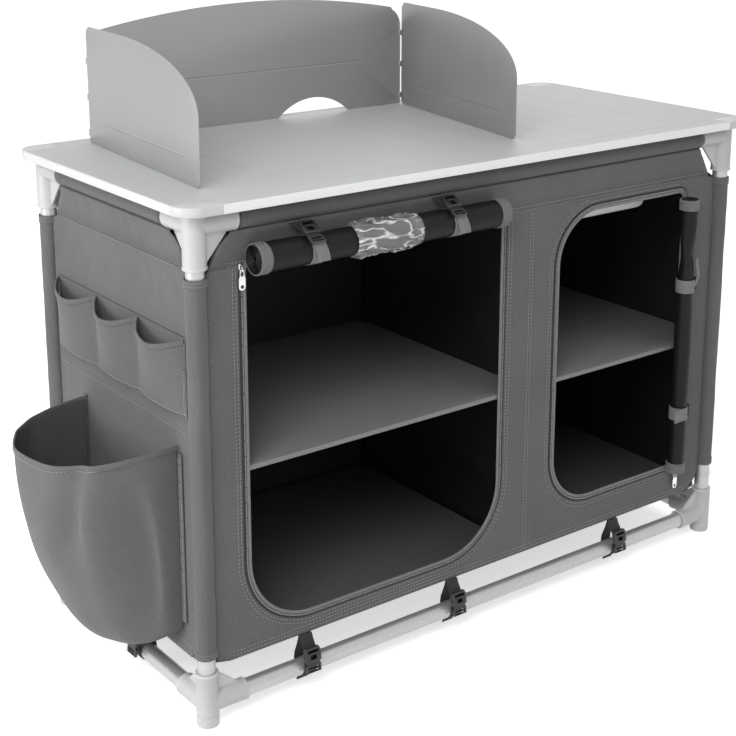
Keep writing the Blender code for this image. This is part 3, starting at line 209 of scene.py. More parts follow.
def blendColour(tree, factor, low, high):
    made = node(tree, "ShaderNodeMix", data_type="RGBA")
    tree.links.new(factor, made.inputs["Factor"])
    for label, colour in (("A", low), ("B", high)):
        socket = [s for s in made.inputs if s.name == label and s.type == "RGBA"][0]
        if isinstance(colour, tuple):
            socket.default_value = (*colour, 1)
        else:
            tree.links.new(colour, socket)
    return [s for s in made.outputs if s.type == "RGBA"][0]


def mixMasks(tree, first, firstShare, second, secondShare):
    total = maths(tree, "MULTIPLY_ADD", first, firstShare)
    tree.links.new(maths(tree, "MULTIPLY", second, secondShare), total.node.inputs[2])
    return total


def varyRoughness(tree, shader, mask, low, high):
    tree.links.new(remap(tree, mask, 0, 1, low, high), shader.inputs["Roughness"])


def useBrush(tree, along):
    return useGroup(tree, brushGroup, Along_X=along[0], Along_Y=along[1], Along_Z=along[2])


def addBump(tree, shader, height, depth, strength=1.0):
    bump = node(tree, "ShaderNodeBump")
    bump.inputs["Distance"].default_value = depth
    bump.inputs["Strength"].default_value = strength
    tree.links.new(height, bump.inputs["Height"])
    tree.links.new(bump.outputs[0], shader.inputs["Normal"])


def clothFinish(name, dark, light, threads=1100.0, fleck=800.0, roughness=0.85, sheen=0.15, depth=0.00012):
    material, tree, shader = newFinish(name, roughness, Sheen_Weight=sheen, Sheen_Roughness=0.5)
    weave = useGroup(tree, weaveGroup, Threads=threads, Fleck=fleck)
    shade = mixMasks(tree, weave.outputs["Cloud"], 0.25, weave.outputs["Fleck"], 0.75)
    tree.links.new(blendColour(tree, shade, dark, light), shader.inputs["Base Color"])
    addBump(tree, shader, weave.outputs["Height"], depth, 0.6)
    return material


def coatedFinish(name, dark, light, roughness=0.45, shine=0.5):
    # the smooth coated back of the cloth
    material, tree, shader = newFinish(name, roughness, Specular_IOR_Level=shine)
    wear = useGroup(tree, wearGroup, Amount=0.6)
    weave = useGroup(tree, weaveGroup, Threads=900.0, Fleck=300.0)
    tree.links.new(blendColour(tree, wear.outputs["Smudge"], dark, light), shader.inputs["Base Color"])
    varyRoughness(tree, shader, weave.outputs["Cloud"], roughness - 0.06, roughness + 0.08)
    addBump(tree, shader, weave.outputs["Height"], 0.00005, 0.4)
    return material


def metalFinish(name, dark, light, roughness, along, metallic=1.0, edge=None):
    material, tree, shader = newFinish(name, roughness, metallic)
    brush = useBrush(tree, along)
    wear = useGroup(tree, wearGroup, Amount=1.0)
    colour = blendColour(tree, brush.outputs["Streak"], dark, light)
    if edge:
        colour = blendColour(tree, wear.outputs["Edge"], colour, edge)
    tree.links.new(colour, shader.inputs["Base Color"])
    rough = maths(tree, "MULTIPLY_ADD", wear.outputs["Smudge"], 0.08)
    streaked = remap(tree, brush.outputs["Streak"], 0, 1, roughness - 0.04, roughness + 0.05)
    tree.links.new(streaked, rough.node.inputs[2])
    tree.links.new(rough, shader.inputs["Roughness"])
    addBump(tree, shader, brush.outputs["Streak"], 0.00004, 0.5)
    return material


def sheetFinish(name, dark, light, roughness, metallic):
    # evenly coated sheet metal, with hardly any drift in its tone
    material, tree, shader = newFinish(name, roughness, metallic)
    weave = useGroup(tree, weaveGroup, Threads=300.0, Fleck=1500.0)
    shade = mixMasks(tree, weave.outputs["Cloud"], 0.35, weave.outputs["Fleck"], 0.25)
    tree.links.new(blendColour(tree, shade, dark, light), shader.inputs["Base Color"])
    varyRoughness(tree, shader, weave.outputs["Cloud"], roughness - 0.015, roughness + 0.015)
    addBump(tree, shader, weave.outputs["Fleck"], 0.00001, 0.2)
    return material


def mouldedFinish(name, base, worn, roughness=0.45, grain=900.0, depth=0.00005):
    # moulded plastic with a fine spark texture
    material, tree, shader = newFinish(name, roughness)
    wear = useGroup(tree, wearGroup, Amount=0.8)
    weave = useGroup(tree, weaveGroup, Threads=400.0, Fleck=grain)
    tone = blendColour(tree, wear.outputs["Smudge"], base, tuple(c * 0.93 for c in base))
    tree.links.new(blendColour(tree, wear.outputs["Edge"], tone, worn), shader.inputs["Base Color"])
    varyRoughness(tree, shader, wear.outputs["Smudge"], roughness - 0.04, roughness + 0.08)
    addBump(tree, shader, weave.outputs["Fleck"], depth, 0.5)
    return material


def laminateFinish(name, dark, light, roughness, along, fleck=500.0):
    material, tree, shader = newFinish(name, roughness, Specular_IOR_Level=0.32)
    brush = useBrush(tree, along)
    weave = useGroup(tree, weaveGroup, Threads=300.0, Fleck=fleck)
    wear = useGroup(tree, wearGroup, Amount=0.8)
    shade = mixMasks(tree, brush.outputs["Streak"], 0.3, weave.outputs["Fleck"], 0.7)
    tree.links.new(blendColour(tree, shade, dark, light), shader.inputs["Base Color"])
    varyRoughness(tree, shader, wear.outputs["Smudge"], roughness - 0.01, roughness + 0.03)
    addBump(tree, shader, weave.outputs["Fleck"], 0.00002, 0.3)
    return material


# film colours: dark between the creases, and light along them as painted highlight
filmLook = {"dark": (0.46, 0.465, 0.47), "light": (0.95, 0.955, 0.96), "between": 0.26, "onPaintedGlint": 0.90,
            "creases": 52.0, "paintedGlintWidth": 0.045, "lean": 0.45, "stretch": (0.4, 1.0, 1.3),
            "dents": 70.0, "dentDepth": 0.003}


def filmFinish(name):
    # clear crinkled window film, with its crease lines painted as white highlights
    material, tree, shader = newFinish(name, 0.08, IOR=1.45, Coat_Weight=1.0, Coat_Roughness=0.03)
    spot = node(tree, "ShaderNodeTexCoord").outputs["Object"]
    drawn = node(tree, "ShaderNodeMapping")
    drawn.inputs["Rotation"].default_value = (0, filmLook["lean"], 0)
    drawn.inputs["Scale"].default_value = filmLook["stretch"]
    tree.links.new(spot, drawn.inputs["Vector"])
    fromMiddle = maths(tree, "SUBTRACT", noiseValue(tree, drawn.outputs[0], filmLook["creases"], 1.0), 0.5)
    # the crease lines take a near-white colour and more cover: painted highlights of the crinkles
    crease = remap(tree, maths(tree, "ABSOLUTE", fromMiddle), 0.0, filmLook["paintedGlintWidth"], 1.0, 0.0)
    colour = blendColour(tree, crease, filmLook["dark"], filmLook["light"])
    tree.links.new(colour, shader.inputs["Base Color"])
    tree.links.new(remap(tree, crease, 0.0, 1.0, filmLook["between"], filmLook["onPaintedGlint"]),
                   shader.inputs["Alpha"])
    addBump(tree, shader, noiseValue(tree, spot, filmLook["dents"], 2.0), filmLook["dentDepth"], 1.0)
    return material


finishes = {
    "canvas": clothFinish("greyCanvas", (0.088, 0.089, 0.092), (0.160, 0.161, 0.165)),
    "canvasBand": clothFinish("bandCanvas", (0.125, 0.126, 0.130), (0.200, 0.201, 0.205), 700.0),
    "coating": coatedFinish("blackCoating", (0.0045, 0.0045, 0.005), (0.009, 0.009, 0.010), 0.6),
    "rollCoating": coatedFinish("greyCoating", (0.0075, 0.0075, 0.008), (0.012, 0.012, 0.013), 0.5, 0.22),
    "lining": coatedFinish("bagLining", (0.105, 0.106, 0.109), (0.150, 0.151, 0.155), 0.5),
    "webbing": clothFinish("greyWebbing", (0.150, 0.151, 0.155), (0.260, 0.261, 0.265), 500.0, 600.0, 0.8,
                           0.1, 0.0003),
    "darkWebbing": clothFinish("darkWebbing", (0.014, 0.014, 0.015), (0.034, 0.034, 0.036), 500.0, 600.0,
                               0.8, 0.1, 0.0003),
    "thread": clothFinish("seamThread", (0.34, 0.34, 0.345), (0.50, 0.50, 0.505), 3000.0, 900.0, 0.7, 0.1,
                          0.00005),
    "tube": metalFinish("anodisedTube", (0.50, 0.505, 0.51), (0.60, 0.605, 0.61), 0.34,
                        (500, 500, 500), 0.6),
    "trim": metalFinish("brightTrim", (0.66, 0.665, 0.67), (0.74, 0.745, 0.75), 0.42, (4, 4, 700), 0.2),
    # a lighter copy of the trim finish for the front and back trims: painted reflection
    "longTrimPaintedReflection": metalFinish("longTrimPaintedReflection", (0.87, 0.875, 0.88), (0.94, 0.94, 0.945), 0.36, (4, 700, 700), 0.1),
    "sheet": sheetFinish("sheetMetal", (0.345, 0.35, 0.355), (0.385, 0.39, 0.395), 0.42, 0.35),
    "zipMetal": metalFinish("nickelZip", (0.62, 0.62, 0.63), (0.82, 0.82, 0.83), 0.22, (200, 200, 200),
                            1.0, (0.9, 0.9, 0.9)),
    "zipTeeth": mouldedFinish("zipTeeth", (0.22, 0.22, 0.225), (0.35, 0.35, 0.36), 0.35),
    "moulded": mouldedFinish("greyMoulding", (0.56, 0.565, 0.575), (0.66, 0.665, 0.67), 0.42),
    "blackMoulding": mouldedFinish("blackMoulding", (0.012, 0.012, 0.013), (0.05, 0.05, 0.052), 0.35),
    "basin": mouldedFinish("basinPlastic", (0.74, 0.745, 0.75), (0.82, 0.82, 0.825), 0.35, 500.0),
    "laminate": laminateFinish("worktopLaminate", (0.53, 0.54, 0.55), (0.60, 0.61, 0.62), 0.50,
                               (260, 3, 260)),
    "shelf": laminateFinish("shelfLaminate", (0.21, 0.212, 0.216), (0.26, 0.262, 0.266), 0.42,
                            (3, 200, 200)),
    # a darker copy of the shelf laminate for the boards on the cupboard floor: painted shade
    "floorBoardPaintedShade": laminateFinish("floorLaminatePaintedShade", (0.105, 0.105, 0.108), (0.140, 0.140, 0.144), 0.42,
                                 (3, 200, 200)),
    "film": filmFinish("windowFilm"),
}
print("finishes made:", len(finishes))


# Mesh building blocks
def addObject(name, data):
    holder = bpy.data.objects.new(name, data)
    bpy.context.scene.collection.objects.link(holder)
    return holder


def fromBmesh(name, shape, angle=40):
    mesh = bpy.data.meshes.new(name)
    shape.to_mesh(mesh)
    shape.free()
    mesh.shade_smooth()
    mesh.set_sharp_from_angle(angle=math.radians(angle))
    return mesh


def gridInto(shape, rows, wrap=False, loop=False, caps=False):
    verts = [[shape.verts.new(point) for point in row] for row in rows]
    pairs = list(zip(verts, verts[1:]))
    if loop:
        pairs.append((verts[-1], verts[0]))
    for lower, upper in pairs:
        count = len(lower)
        for i in range(count if wrap else count - 1):
            j = (i + 1) % count
            shape.faces.new((lower[i], lower[j], upper[j], upper[i]))
    if caps:
        shape.faces.new(list(reversed(verts[0])))
        shape.faces.new(verts[-1])
    return verts


def gridMesh(name, rows, wrap=False, loop=False, caps=False, angle=40):
    shape = bmesh.new()
    gridInto(shape, rows, wrap, loop, caps)
    bmesh.ops.recalc_face_normals(shape, faces=shape.faces)
    return fromBmesh(name, shape, angle)


def turnedRows(profile, sides, turn=None, at=(0, 0, 0)):
    # profile of (radius, height) pairs about Z, then turned and placed
    matrix = Matrix.Translation(at) @ (Euler(turn).to_matrix().to_4x4() if turn else Matrix())
    rows = []
    for radius, height in profile:
        rows.append([matrix @ Vector((radius * math.cos(a), radius * math.sin(a), height))
                     for a in ringAngles(sides)])
    return rows


def sweptRows(path, section, side, closed=False):
    side = Vector(side).normalized()
    points = [Vector(p) for p in path]
    rows = []
    for i, point in enumerate(points):
        before = points[i - 1] if (closed or i > 0) else point
        after = points[(i + 1) % len(points)] if (closed or i < len(points) - 1) else point
        out = (after - before).cross(side).normalized()
        rows.append([point + side * u + out * v for u, v in section])
    return rows


def roundedSection(width, height, radius, steps=2):
    points = []
    for cx, cy, start in ((1, 1, 0), (-1, 1, 90), (-1, -1, 180), (1, -1, 270)):
        for i in range(steps + 1):
            a = math.radians(start + 90 * i / steps)
            points.append((cx * (width / 2 - radius) + radius * math.cos(a),
                           cy * (height / 2 - radius) + radius * math.sin(a)))
    return points


def sweptMesh(name, path, section, side, closed=False, angle=60):
    # section: width, height and rounding of a band drawn along the path
    rows = sweptRows(path, roundedSection(*section), side, closed)
    return gridMesh(name, rows, wrap=True, loop=closed, caps=not closed, angle=angle)


def spread(low, high, steps):
    return [low + (high - low) * i / steps for i in range(steps + 1)]


def ringAngles(count):
    return [2 * math.pi * i / count for i in range(count)]


def arcPoints(centre, radius, start, end, steps):
    angles = [math.radians(a) for a in spread(start, end, steps)]
    return [(centre[0] + radius * math.cos(a), centre[1] + radius * math.sin(a)) for a in angles]


def roundedOutline(low, high, radii, steps=8):
    # radii: bottom left, bottom right, top right, top left
    (x0, y0), (x1, y1) = low, high
    bl, br, tr, tl = radii
    points = arcPoints((x0 + bl, y0 + bl), bl, 180, 270, steps)
    points += arcPoints((x1 - br, y0 + br), br, 270, 360, steps)
    points += arcPoints((x1 - tr, y1 - tr), tr, 0, 90, steps)
    points += arcPoints((x0 + tl, y1 - tl), tl, 90, 180, steps)
    return points


weldGap = 0.00001


def evaluatedMesh(holder):
    # the mesh that an object gives with its curve or modifiers worked out
    bpy.context.view_layer.update()
    return bpy.data.meshes.new_from_object(holder.evaluated_get(bpy.context.evaluated_depsgraph_get()))


def flatShape(name, outline, thickness, holes=(), edge=0.0, angle=30):
    # a flat outline in XY, filled, thickened about Z = 0 and eased along its edges
    curve = bpy.data.curves.new(name, "CURVE")
    curve.dimensions = "2D"
    curve.fill_mode = "BOTH"
    curve.extrude = thickness / 2 - edge
    curve.bevel_depth = edge
    curve.bevel_resolution = 1
    curve.offset = -edge
    for ring in (outline, *holes):
        spline = curve.splines.new("POLY")
        spline.points.add(len(ring) - 1)
        for point, (x, y) in zip(spline.points, ring):
            point.co = (x, y, 0, 1)
        spline.use_cyclic_u = True
    holder = addObject(name, curve)
    mesh = evaluatedMesh(holder)
    bpy.data.objects.remove(holder)
    shape = bmesh.new()
    shape.from_mesh(mesh)
    bmesh.ops.remove_doubles(shape, verts=shape.verts, dist=weldGap)
    bmesh.ops.dissolve_limit(shape, angle_limit=0.001, verts=shape.verts, edges=shape.edges)
    bmesh.ops.recalc_face_normals(shape, faces=shape.faces)
    return fromBmesh(name, shape, angle)


def moved(mesh, at=(0, 0, 0), turn=(0, 0, 0)):
    mesh.transform(Matrix.Translation(at) @ Euler(turn).to_matrix().to_4x4())
    return mesh


def joined(name, meshes, angle=40):
    shape = bmesh.new()
    for mesh in meshes:
        shape.from_mesh(mesh)
    return fromBmesh(name, shape, angle)


upright = (math.pi / 2, 0, 0)
sideways = (math.pi / 2, 0, math.pi / 2)
alongX = (0, math.pi / 2, 0)


def addPiece(name, mesh, finish, body="frame", covers=(), slot=None, second=None, at=(0, 0, 0),
             turn=(0, 0, 0)):
    piece = addObject(name, mesh)
    piece.location = place + Vector(at)
    piece.rotation_euler = turn
    if not mesh.materials:
        mesh.materials.append(finishes[finish])
        if second:
            mesh.materials.append(finishes[second])
    bpy.context.view_layer.update()
    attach(piece, body)
    if covers:
        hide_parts(*covers)
    return piece


def thicken(piece, thickness, offset=0.0, lined=False):
    solid = piece.modifiers.new("thickness", "SOLIDIFY")
    solid.thickness = thickness
    solid.offset = offset
    solid.use_even_offset = False
    if lined:
        solid.material_offset = 1


def soften(piece):
    smooth = piece.modifiers.new("soft", "SUBSURF")
    smooth.levels = smooth.render_levels = 1


def ripple(a, b, seed, scaleA=6.0, scaleB=6.0):
    return noise.noise(Vector((a * scaleA, b * scaleB, seed * 7.31)))


def smoothStep(low, high, value):
    t = min(max((value - low) / (high - low), 0.0), 1.0)
    return t * t * (3 - 2 * t)


stitch = {"length": 0.0032, "pitch": 0.0046, "width": 0.0009, "rise": 0.0006}
zipTooth = {"length": 0.0013, "pitch": 0.0021, "width": 0.0022, "rise": 0.0007}
hemStitch = {"length": 0.0014, "pitch": 0.0100, "width": 0.0006, "rise": 0.0003}


def stitchRun(shape, path, out, length, pitch, width, rise):
    # single thread stitches laid along a path, standing a little proud along out
    out = Vector(out).normalized()
    points = [Vector(p) for p in path]
    spare = 0.0
    for a, b in zip(points, points[1:]):
        span = (b - a).length
        if span < 1e-9:
            continue
        along = (b - a) / span
        side = along.cross(out).normalized()
        s = spare
        while s + length < span:
            rows = []
            for k, z in enumerate((0.0, rise, 0.0)):
                centre = a + along * (s + length * k / 2) + out * z
                rows.append([centre + side * width / 2, centre + out * width * 0.6,
                             centre - side * width / 2,
                             centre - out * width * 0.4])
            gridInto(shape, rows, wrap=True, caps=True)
            s += pitch
        spare = max(0.0, s - span)


def addStitches(name, runs, sizes=stitch, finish="thread"):
    shape = bmesh.new()
    for path, out in runs:
        stitchRun(shape, path, out, **sizes)
    bmesh.ops.recalc_face_normals(shape, faces=shape.faces)
    addPiece(name, fromBmesh(name, shape, 80), finish)


# Camera, light and floor
shot = {"spot": (-1.535, -1.946, 1.267), "yaw": 0.644, "tilt": 0.250, "lens": 72.57, "film": 36.0,
        "shiftY": -0.192, "nearest": 0.05}
camera = addObject("camera", bpy.data.cameras.new("camera"))
camera.location = place + Vector(shot["spot"])
camera.rotation_euler = (math.pi / 2 - shot["tilt"], 0, -shot["yaw"])
camera.data.lens = shot["lens"]
camera.data.sensor_width = shot["film"]
camera.data.shift_y = shot["shiftY"]
camera.data.clip_start = shot["nearest"]
bpy.context.scene.camera = camera

studio = {"floorSize": 24.0, "floorTone": 0.86, "floorGap": 0.0005, "worldLight": 0.55, "floorGlow": 0.60}
lamps = {
    "keyLight": {"spot": (-2.0, -1.65, 2.4), "target": (0, 0, 0.5), "size": (1.6, 1.2), "power": 37},
    "sideLight": {"spot": (-2.7, 0.2, 0.9), "target": (-0.4, 0, 0.35), "size": (1.2, 1.0), "power": 24},
    "rearLight": {"spot": (1.8, 1.8, 2.2), "target": (0.2, 0, 0.6), "size": (1.6, 1.6), "power": 10},
}


def addLamp(name, spot, target, size, power):
    lamp = bpy.data.lights.new(name, "AREA")
    lamp.shape = "RECTANGLE"
    lamp.size, lamp.size_y = size
    lamp.energy = power
    holder = addObject(name, lamp)
    holder.location = spot
    holder.rotation_euler = (Vector(target) - Vector(spot)).to_track_quat("-Z", "Y").to_euler()


for name, settings in lamps.items():
    addLamp(name, **settings)


def seenMask(tree):
    # 1 on the rays that see the white surroundings: the camera's, a mirror's and a clear film's
    path = node(tree, "ShaderNodeLightPath")
    either = maths(tree, "MAXIMUM", path.outputs["Is Camera Ray"], path.outputs["Is Glossy Ray"])
    return maths(tree, "MAXIMUM", either, path.outputs["Is Transmission Ray"])


def makeWorld():
    world = bpy.data.worlds.new("studio")
    world.use_nodes = True
    tree = world.node_tree
    background = tree.nodes["Background"]
    background.inputs["Color"].default_value = (1, 1, 1, 1)
    seen = node(tree, "ShaderNodeBackground")
    seen.inputs["Color"].default_value = (1, 1, 1, 1)
    seen.inputs["Strength"].default_value = 1.0
    background.inputs["Strength"].default_value = studio["worldLight"]
    mix = node(tree, "ShaderNodeMixShader")
    tree.links.new(seenMask(tree), mix.inputs[0])
    tree.links.new(background.outputs[0], mix.inputs[1])
    tree.links.new(seen.outputs[0], mix.inputs[2])
    tree.links.new(mix.outputs[0], tree.nodes["World Output"].inputs["Surface"])
    bpy.context.scene.world = world


def makeFloor():
    half = studio["floorSize"] / 2
    shape = bmesh.new()
    gridInto(shape, [[(-half, -half, 0), (half, -half, 0)], [(-half, half, 0), (half, half, 0)]])
    floor = addObject("studioFloor", fromBmesh("studioFloor", shape))
    floor.location.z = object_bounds()[0][2] - studio["floorGap"]
    material, tree, shader = newFinish("paleFloor", 0.9)
    shader.inputs["Base Color"].default_value = (*[studio["floorTone"]] * 3, 1)
    glow = node(tree, "ShaderNodeEmission")
    both = node(tree, "ShaderNodeAddShader")
    tree.links.new(maths(tree, "MULTIPLY", seenMask(tree), studio["floorGlow"]), glow.inputs["Strength"])
    tree.links.new(shader.outputs[0], both.inputs[0])
    tree.links.new(glow.outputs[0], both.inputs[1])
    tree.links.new(both.outputs[0], tree.nodes["Material Output"].inputs["Surface"])
    floor.data.materials.append(material)


makeWorld()
makeFloor()
bpy.context.scene.view_settings.view_transform = "Standard"
print("studio ready")

# Tube frame and its corners
frameTube = {"wall": 0.0012, "ease": 0.0004, "sides": 40}


def addTube(nodeName):
    low, high = unitBox(nodeName)
    middle = (low + high) / 2
    size = high - low
    axis = max(range(3), key=lambda k: size[k])
    half = size[axis] / 2
    inner, ease = tubeR - frameTube["wall"], frameTube["ease"]
    profile = [(inner, half), (tubeR - ease, half), (tubeR, half - ease), (tubeR, -half + ease),
               (tubeR - ease, -half), (inner, -half)]
    turn = (alongX, upright, (0, 0, 0))[axis]
    rows = turnedRows(profile, frameTube["sides"], turn, middle)
    addPiece(nodeName + "_tube", gridMesh(nodeName, rows, wrap=True, loop=True), "tube", "frame",
             [nodeName], "aluminium")


for nodeName in sorted(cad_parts):
    if nodeName.startswith(("leg_", "top_rail_", "low_rail_")):
        addTube(nodeName)
print("tubes drawn")

corner = {"postR": 0.0171, "armR": 0.0167, "arm": 0.064, "topDrop": 0.064, "footRise": 0.050,
          "bead": 0.0008, "webThickness": 0.005, "webEdge": 0.0009, "boreR": 0.0138, "boreStart": 0.0183,
          "sides": 40, "seamZ": 0.018, "lip": 0.0045, "webStart": 0.004}


def cornerMesh(name, top):
    # three sockets meeting square, each with a rolled lip, stiffened by two webs
    r, b, lip = corner["postR"], corner["bead"], corner["lip"]
    reach = corner["topDrop"] if top else corner["footRise"]
    mouth = [(corner["boreR"], reach), (r + b - 0.0005, reach), (r + b, reach - 0.0006),
             (r + b, reach - lip * 0.7),
             (r, reach - lip), (r, 0.0)]
    if top:
        closed = [(r, -r + 0.0016), (r - 0.0006, -r + 0.0005), (r - 0.0018, -r), (0.0, -r)]
    else:
        seam = lowZ - corner["seamZ"]
        closed = [(r, -seam + 0.0007), (r - 0.0007, -seam + 0.0002), (r - 0.0007, -seam - 0.0004),
                  (r, -seam - 0.0009),
                  (r, -lowZ + 0.0016), (r - 0.0006, -lowZ + 0.0005), (r - 0.0018, -lowZ), (0.0, -lowZ)]
    inside = [(0.0, corner["boreStart"]), (corner["boreR"], corner["boreStart"])]
    turn = (math.pi, 0, 0) if top else (0, 0, 0)
    shape = bmesh.new()
    gridInto(shape, turnedRows(inside + mouth + closed, corner["sides"], turn), wrap=True)
    ar, end, start = corner["armR"], corner["arm"], corner["webStart"]
    arm = inside + [(corner["boreR"], end), (ar + 0.0002, end), (ar + 0.0005, end - 0.0006),
                    (ar + 0.0005, end - lip * 0.7), (ar, end - lip), (ar, start)]
    for armTurn in (alongX, (-math.pi / 2, 0, 0)):
        gridInto(shape, turnedRows(arm, corner["sides"], armTurn), wrap=True)
    bmesh.ops.remove_doubles(shape, verts=shape.verts, dist=weldGap)
    bmesh.ops.recalc_face_normals(shape, faces=shape.faces)
    meshes = [fromBmesh(name + "_sockets", shape)]
    sign = -1 if top else 1
    web = [(start, sign * start), (end * 0.95, sign * ar * 0.5), (end * 0.95, sign * ar * 0.97),
           (end * 0.80, sign * ar * 1.05), (r * 1.03, sign * reach * 0.90), (r * 0.9, sign * reach * 0.95),
           (start, sign * reach * 0.95)]
    for webTurn in (upright, sideways):
        meshes.append(moved(flatShape(name + "_web", web, corner["webThickness"], (), corner["webEdge"]),
                            turn=webTurn))
    return joined(name, meshes)


cornerPlaces = (("front_left", -1, -1, 0), ("front_right", 1, -1, 1), ("back_right", 1, 1, 2),
                ("back_left", -1, 1, 3))
topCorner, footCorner = cornerMesh("topCorner", True), cornerMesh("footCorner", False)
for tag, sx, sy, quarter in cornerPlaces:
    turn = (0, 0, quarter * math.pi / 2)
    for kind, mesh, z in (("top", topCorner, railZ), ("foot", footCorner, lowZ)):
        nodeName = f"{kind}_connector_{tag}"
        addPiece(nodeName + "_moulding", mesh, "moulded", "frame", [nodeName], "corner_plastic",
                 at=(sx * legX, sy * legY, z), turn=turn)
print("corners drawn")

# Worktop
worktop = {"thickness": 0.014, "rim": 0.039, "cap": 0.062, "capRadius": 0.036, "skin": 0.0016,
           "trim": 0.0012, "seam": 0.0003, "groove": 0.0011, "gap": 0.0003, "skinGap": 0.0006,
           "capGap": 0.0004, "ledge": 0.012, "ledgeRadius": 0.012, "fixedSeam": 0.083,
           "lidGrooves": (0.27, 0.61)}
basinSeat = {"insetX": 0.0117, "insetY": 0.0337, "radius": 0.04}
pegSlot = {"half": 0.0063, "halfWide": 0.0009, "deep": 0.0095}
insideY = halfDepth - worktop["rim"]
lidBox = unitBox("sink_lid")
boardBoxes = [unitBox(f"worktop_board_{i}") for i in (1, 2, 3)]
boardsLeft, boardsRight = boardBoxes[0][0].x, boardBoxes[2][1].x
shieldBox = unitBox("windshield_back")
hinge = {"inset": 0.0015, "behind": 0.0006, "toPeg": 0.045}
hingeX = {"left": shieldBox[0].x + hinge["inset"], "right": shieldBox[1].x - hinge["inset"]}
hingeY = shieldBox[0].y + hinge["behind"]
pegX = [hingeX["left"] + hinge["toPeg"], hingeX["right"] - hinge["toPeg"]]


def slabMesh(name, low, high, grooves=(), ease=0.0004):
    # a board lying flat, with eased edges and shallow grooves across its length at the given x places
    (x0, y0, z0), (x1, y1, z1) = low, high
    g = worktop["groove"] / 2
    top = [(x0, z1 - ease), (x0 + ease, z1)]
    for x in grooves:
        top += [(x - g, z1), (x - g * 0.5, z1 - g * 1.2), (x + g * 0.5, z1 - g * 1.2), (x + g, z1)]
    section = [(x1, z0)] + [(x0, z0)] + top + [(x1 - ease, z1), (x1, z1 - ease)]
    rows = []
    for y, pull in ((y0, ease), (y0 + ease, 0.0), (y1 - ease, 0.0), (y1, ease)):
        rows.append([(min(max(x, x0 + pull), x1 - pull), y, min(z, z1 - pull)) for x, z in section])
    return gridMesh(name, rows, wrap=True, caps=True, angle=25)


def boxMesh(name, low, high):
    shape = bmesh.new()
    size = Vector(high) - Vector(low)
    middle = (Vector(high) + Vector(low)) / 2
    bmesh.ops.create_cube(shape, size=1, matrix=Matrix.Translation(middle) @ Matrix.Diagonal((*size, 1)))
    return fromBmesh(name, shape, 25)


def carve(mesh, cutters, operation="DIFFERENCE"):
    # exact cuts worked out once and kept as a plain mesh
    body = addObject("carved", mesh)
    helpers = []
    for cutter in cutters:
        helper = addObject("cutter", cutter)
        step = body.modifiers.new("cut", "BOOLEAN")
        step.operation = operation
        step.solver = "EXACT"
        step.object = helper
        helpers.append(helper)
    result = evaluatedMesh(body)
    for item in (body, *helpers):
        bpy.data.objects.remove(item)
    result.shade_smooth()
    result.set_sharp_from_angle(angle=math.radians(25))
    return result


def pegSlots():
    half, wide, above = pegSlot["half"], pegSlot["halfWide"], 0.01
    return [boxMesh("pegSlot", (x - half, hingeY - wide, topZ - pegSlot["deep"]),
                    (x + half, hingeY + wide, topZ + above))
            for x in pegX]


def addSeat(name, low, high, insetX, insetY, radius, covers):
    # a flat ring of sheet that a board or the basin's flange rests on
    outline = [(low.x, low.y), (high.x, low.y), (high.x, high.y), (low.x, high.y)]
    opening = roundedOutline((low.x + insetX, low.y + insetY), (high.x - insetX, high.y - insetY),
                             [radius] * 4)
    ring = flatShape("seat", outline, high.z - low.z, [opening], 0.0004)
    addPiece(name, ring, "trim", "worktop", covers, "aluminium", at=(0, 0, (low.z + high.z) / 2))


def drawWorktopCore():
    skin, trim = worktop["skin"], worktop["trim"]
    under = topZ - worktop["thickness"]
    x, y = halfLength - trim, halfDepth - trim
    gap, capX, capY = worktop["gap"], worktop["cap"] + worktop["capGap"], worktop["rim"] + worktop["capGap"]
    past, below = 0.1, 0.7  # how far the cutters run past the slab
    core = boxMesh("core", (-x, -y, under), (x, y, topZ - skin))
    cutters = []
    for sx in (-1, 1):
        for sy in (-1, 1):
            notch = boxMesh("notch", (-capX, -capY, -past), (capX, capY, past))
            cutters.append(moved(notch, (sx * halfLength, sy * halfDepth, topZ)))
    for name, left, right in (("boards", boardsLeft, boardsRight), ("lid", lidBox[0].x, lidBox[1].x)):
        cutters.append(boxMesh(name, (left - gap, -insideY, below), (right + gap, insideY, topZ + past)))
    addPiece("worktopCore", carve(core, cutters + pegSlots()), "laminate", "worktop",
             ["worktop_frame", "worktop_rim_front", "worktop_rim_back", "worktop_end_right"],
             "worktop_board")
    low, high = unitBox("basin_seat")
    addSeat("basinLedge", low, high, basinSeat["insetX"], basinSeat["insetY"], basinSeat["radius"],
            ["basin_seat"])
    low = Vector((boardsLeft - gap, -insideY, under))
    high = Vector((boardsRight + gap, insideY, boardBoxes[0][0].z - gap))
    addSeat("boardLedge", low, high, worktop["ledge"], worktop["ledge"], worktop["ledgeRadius"], [])


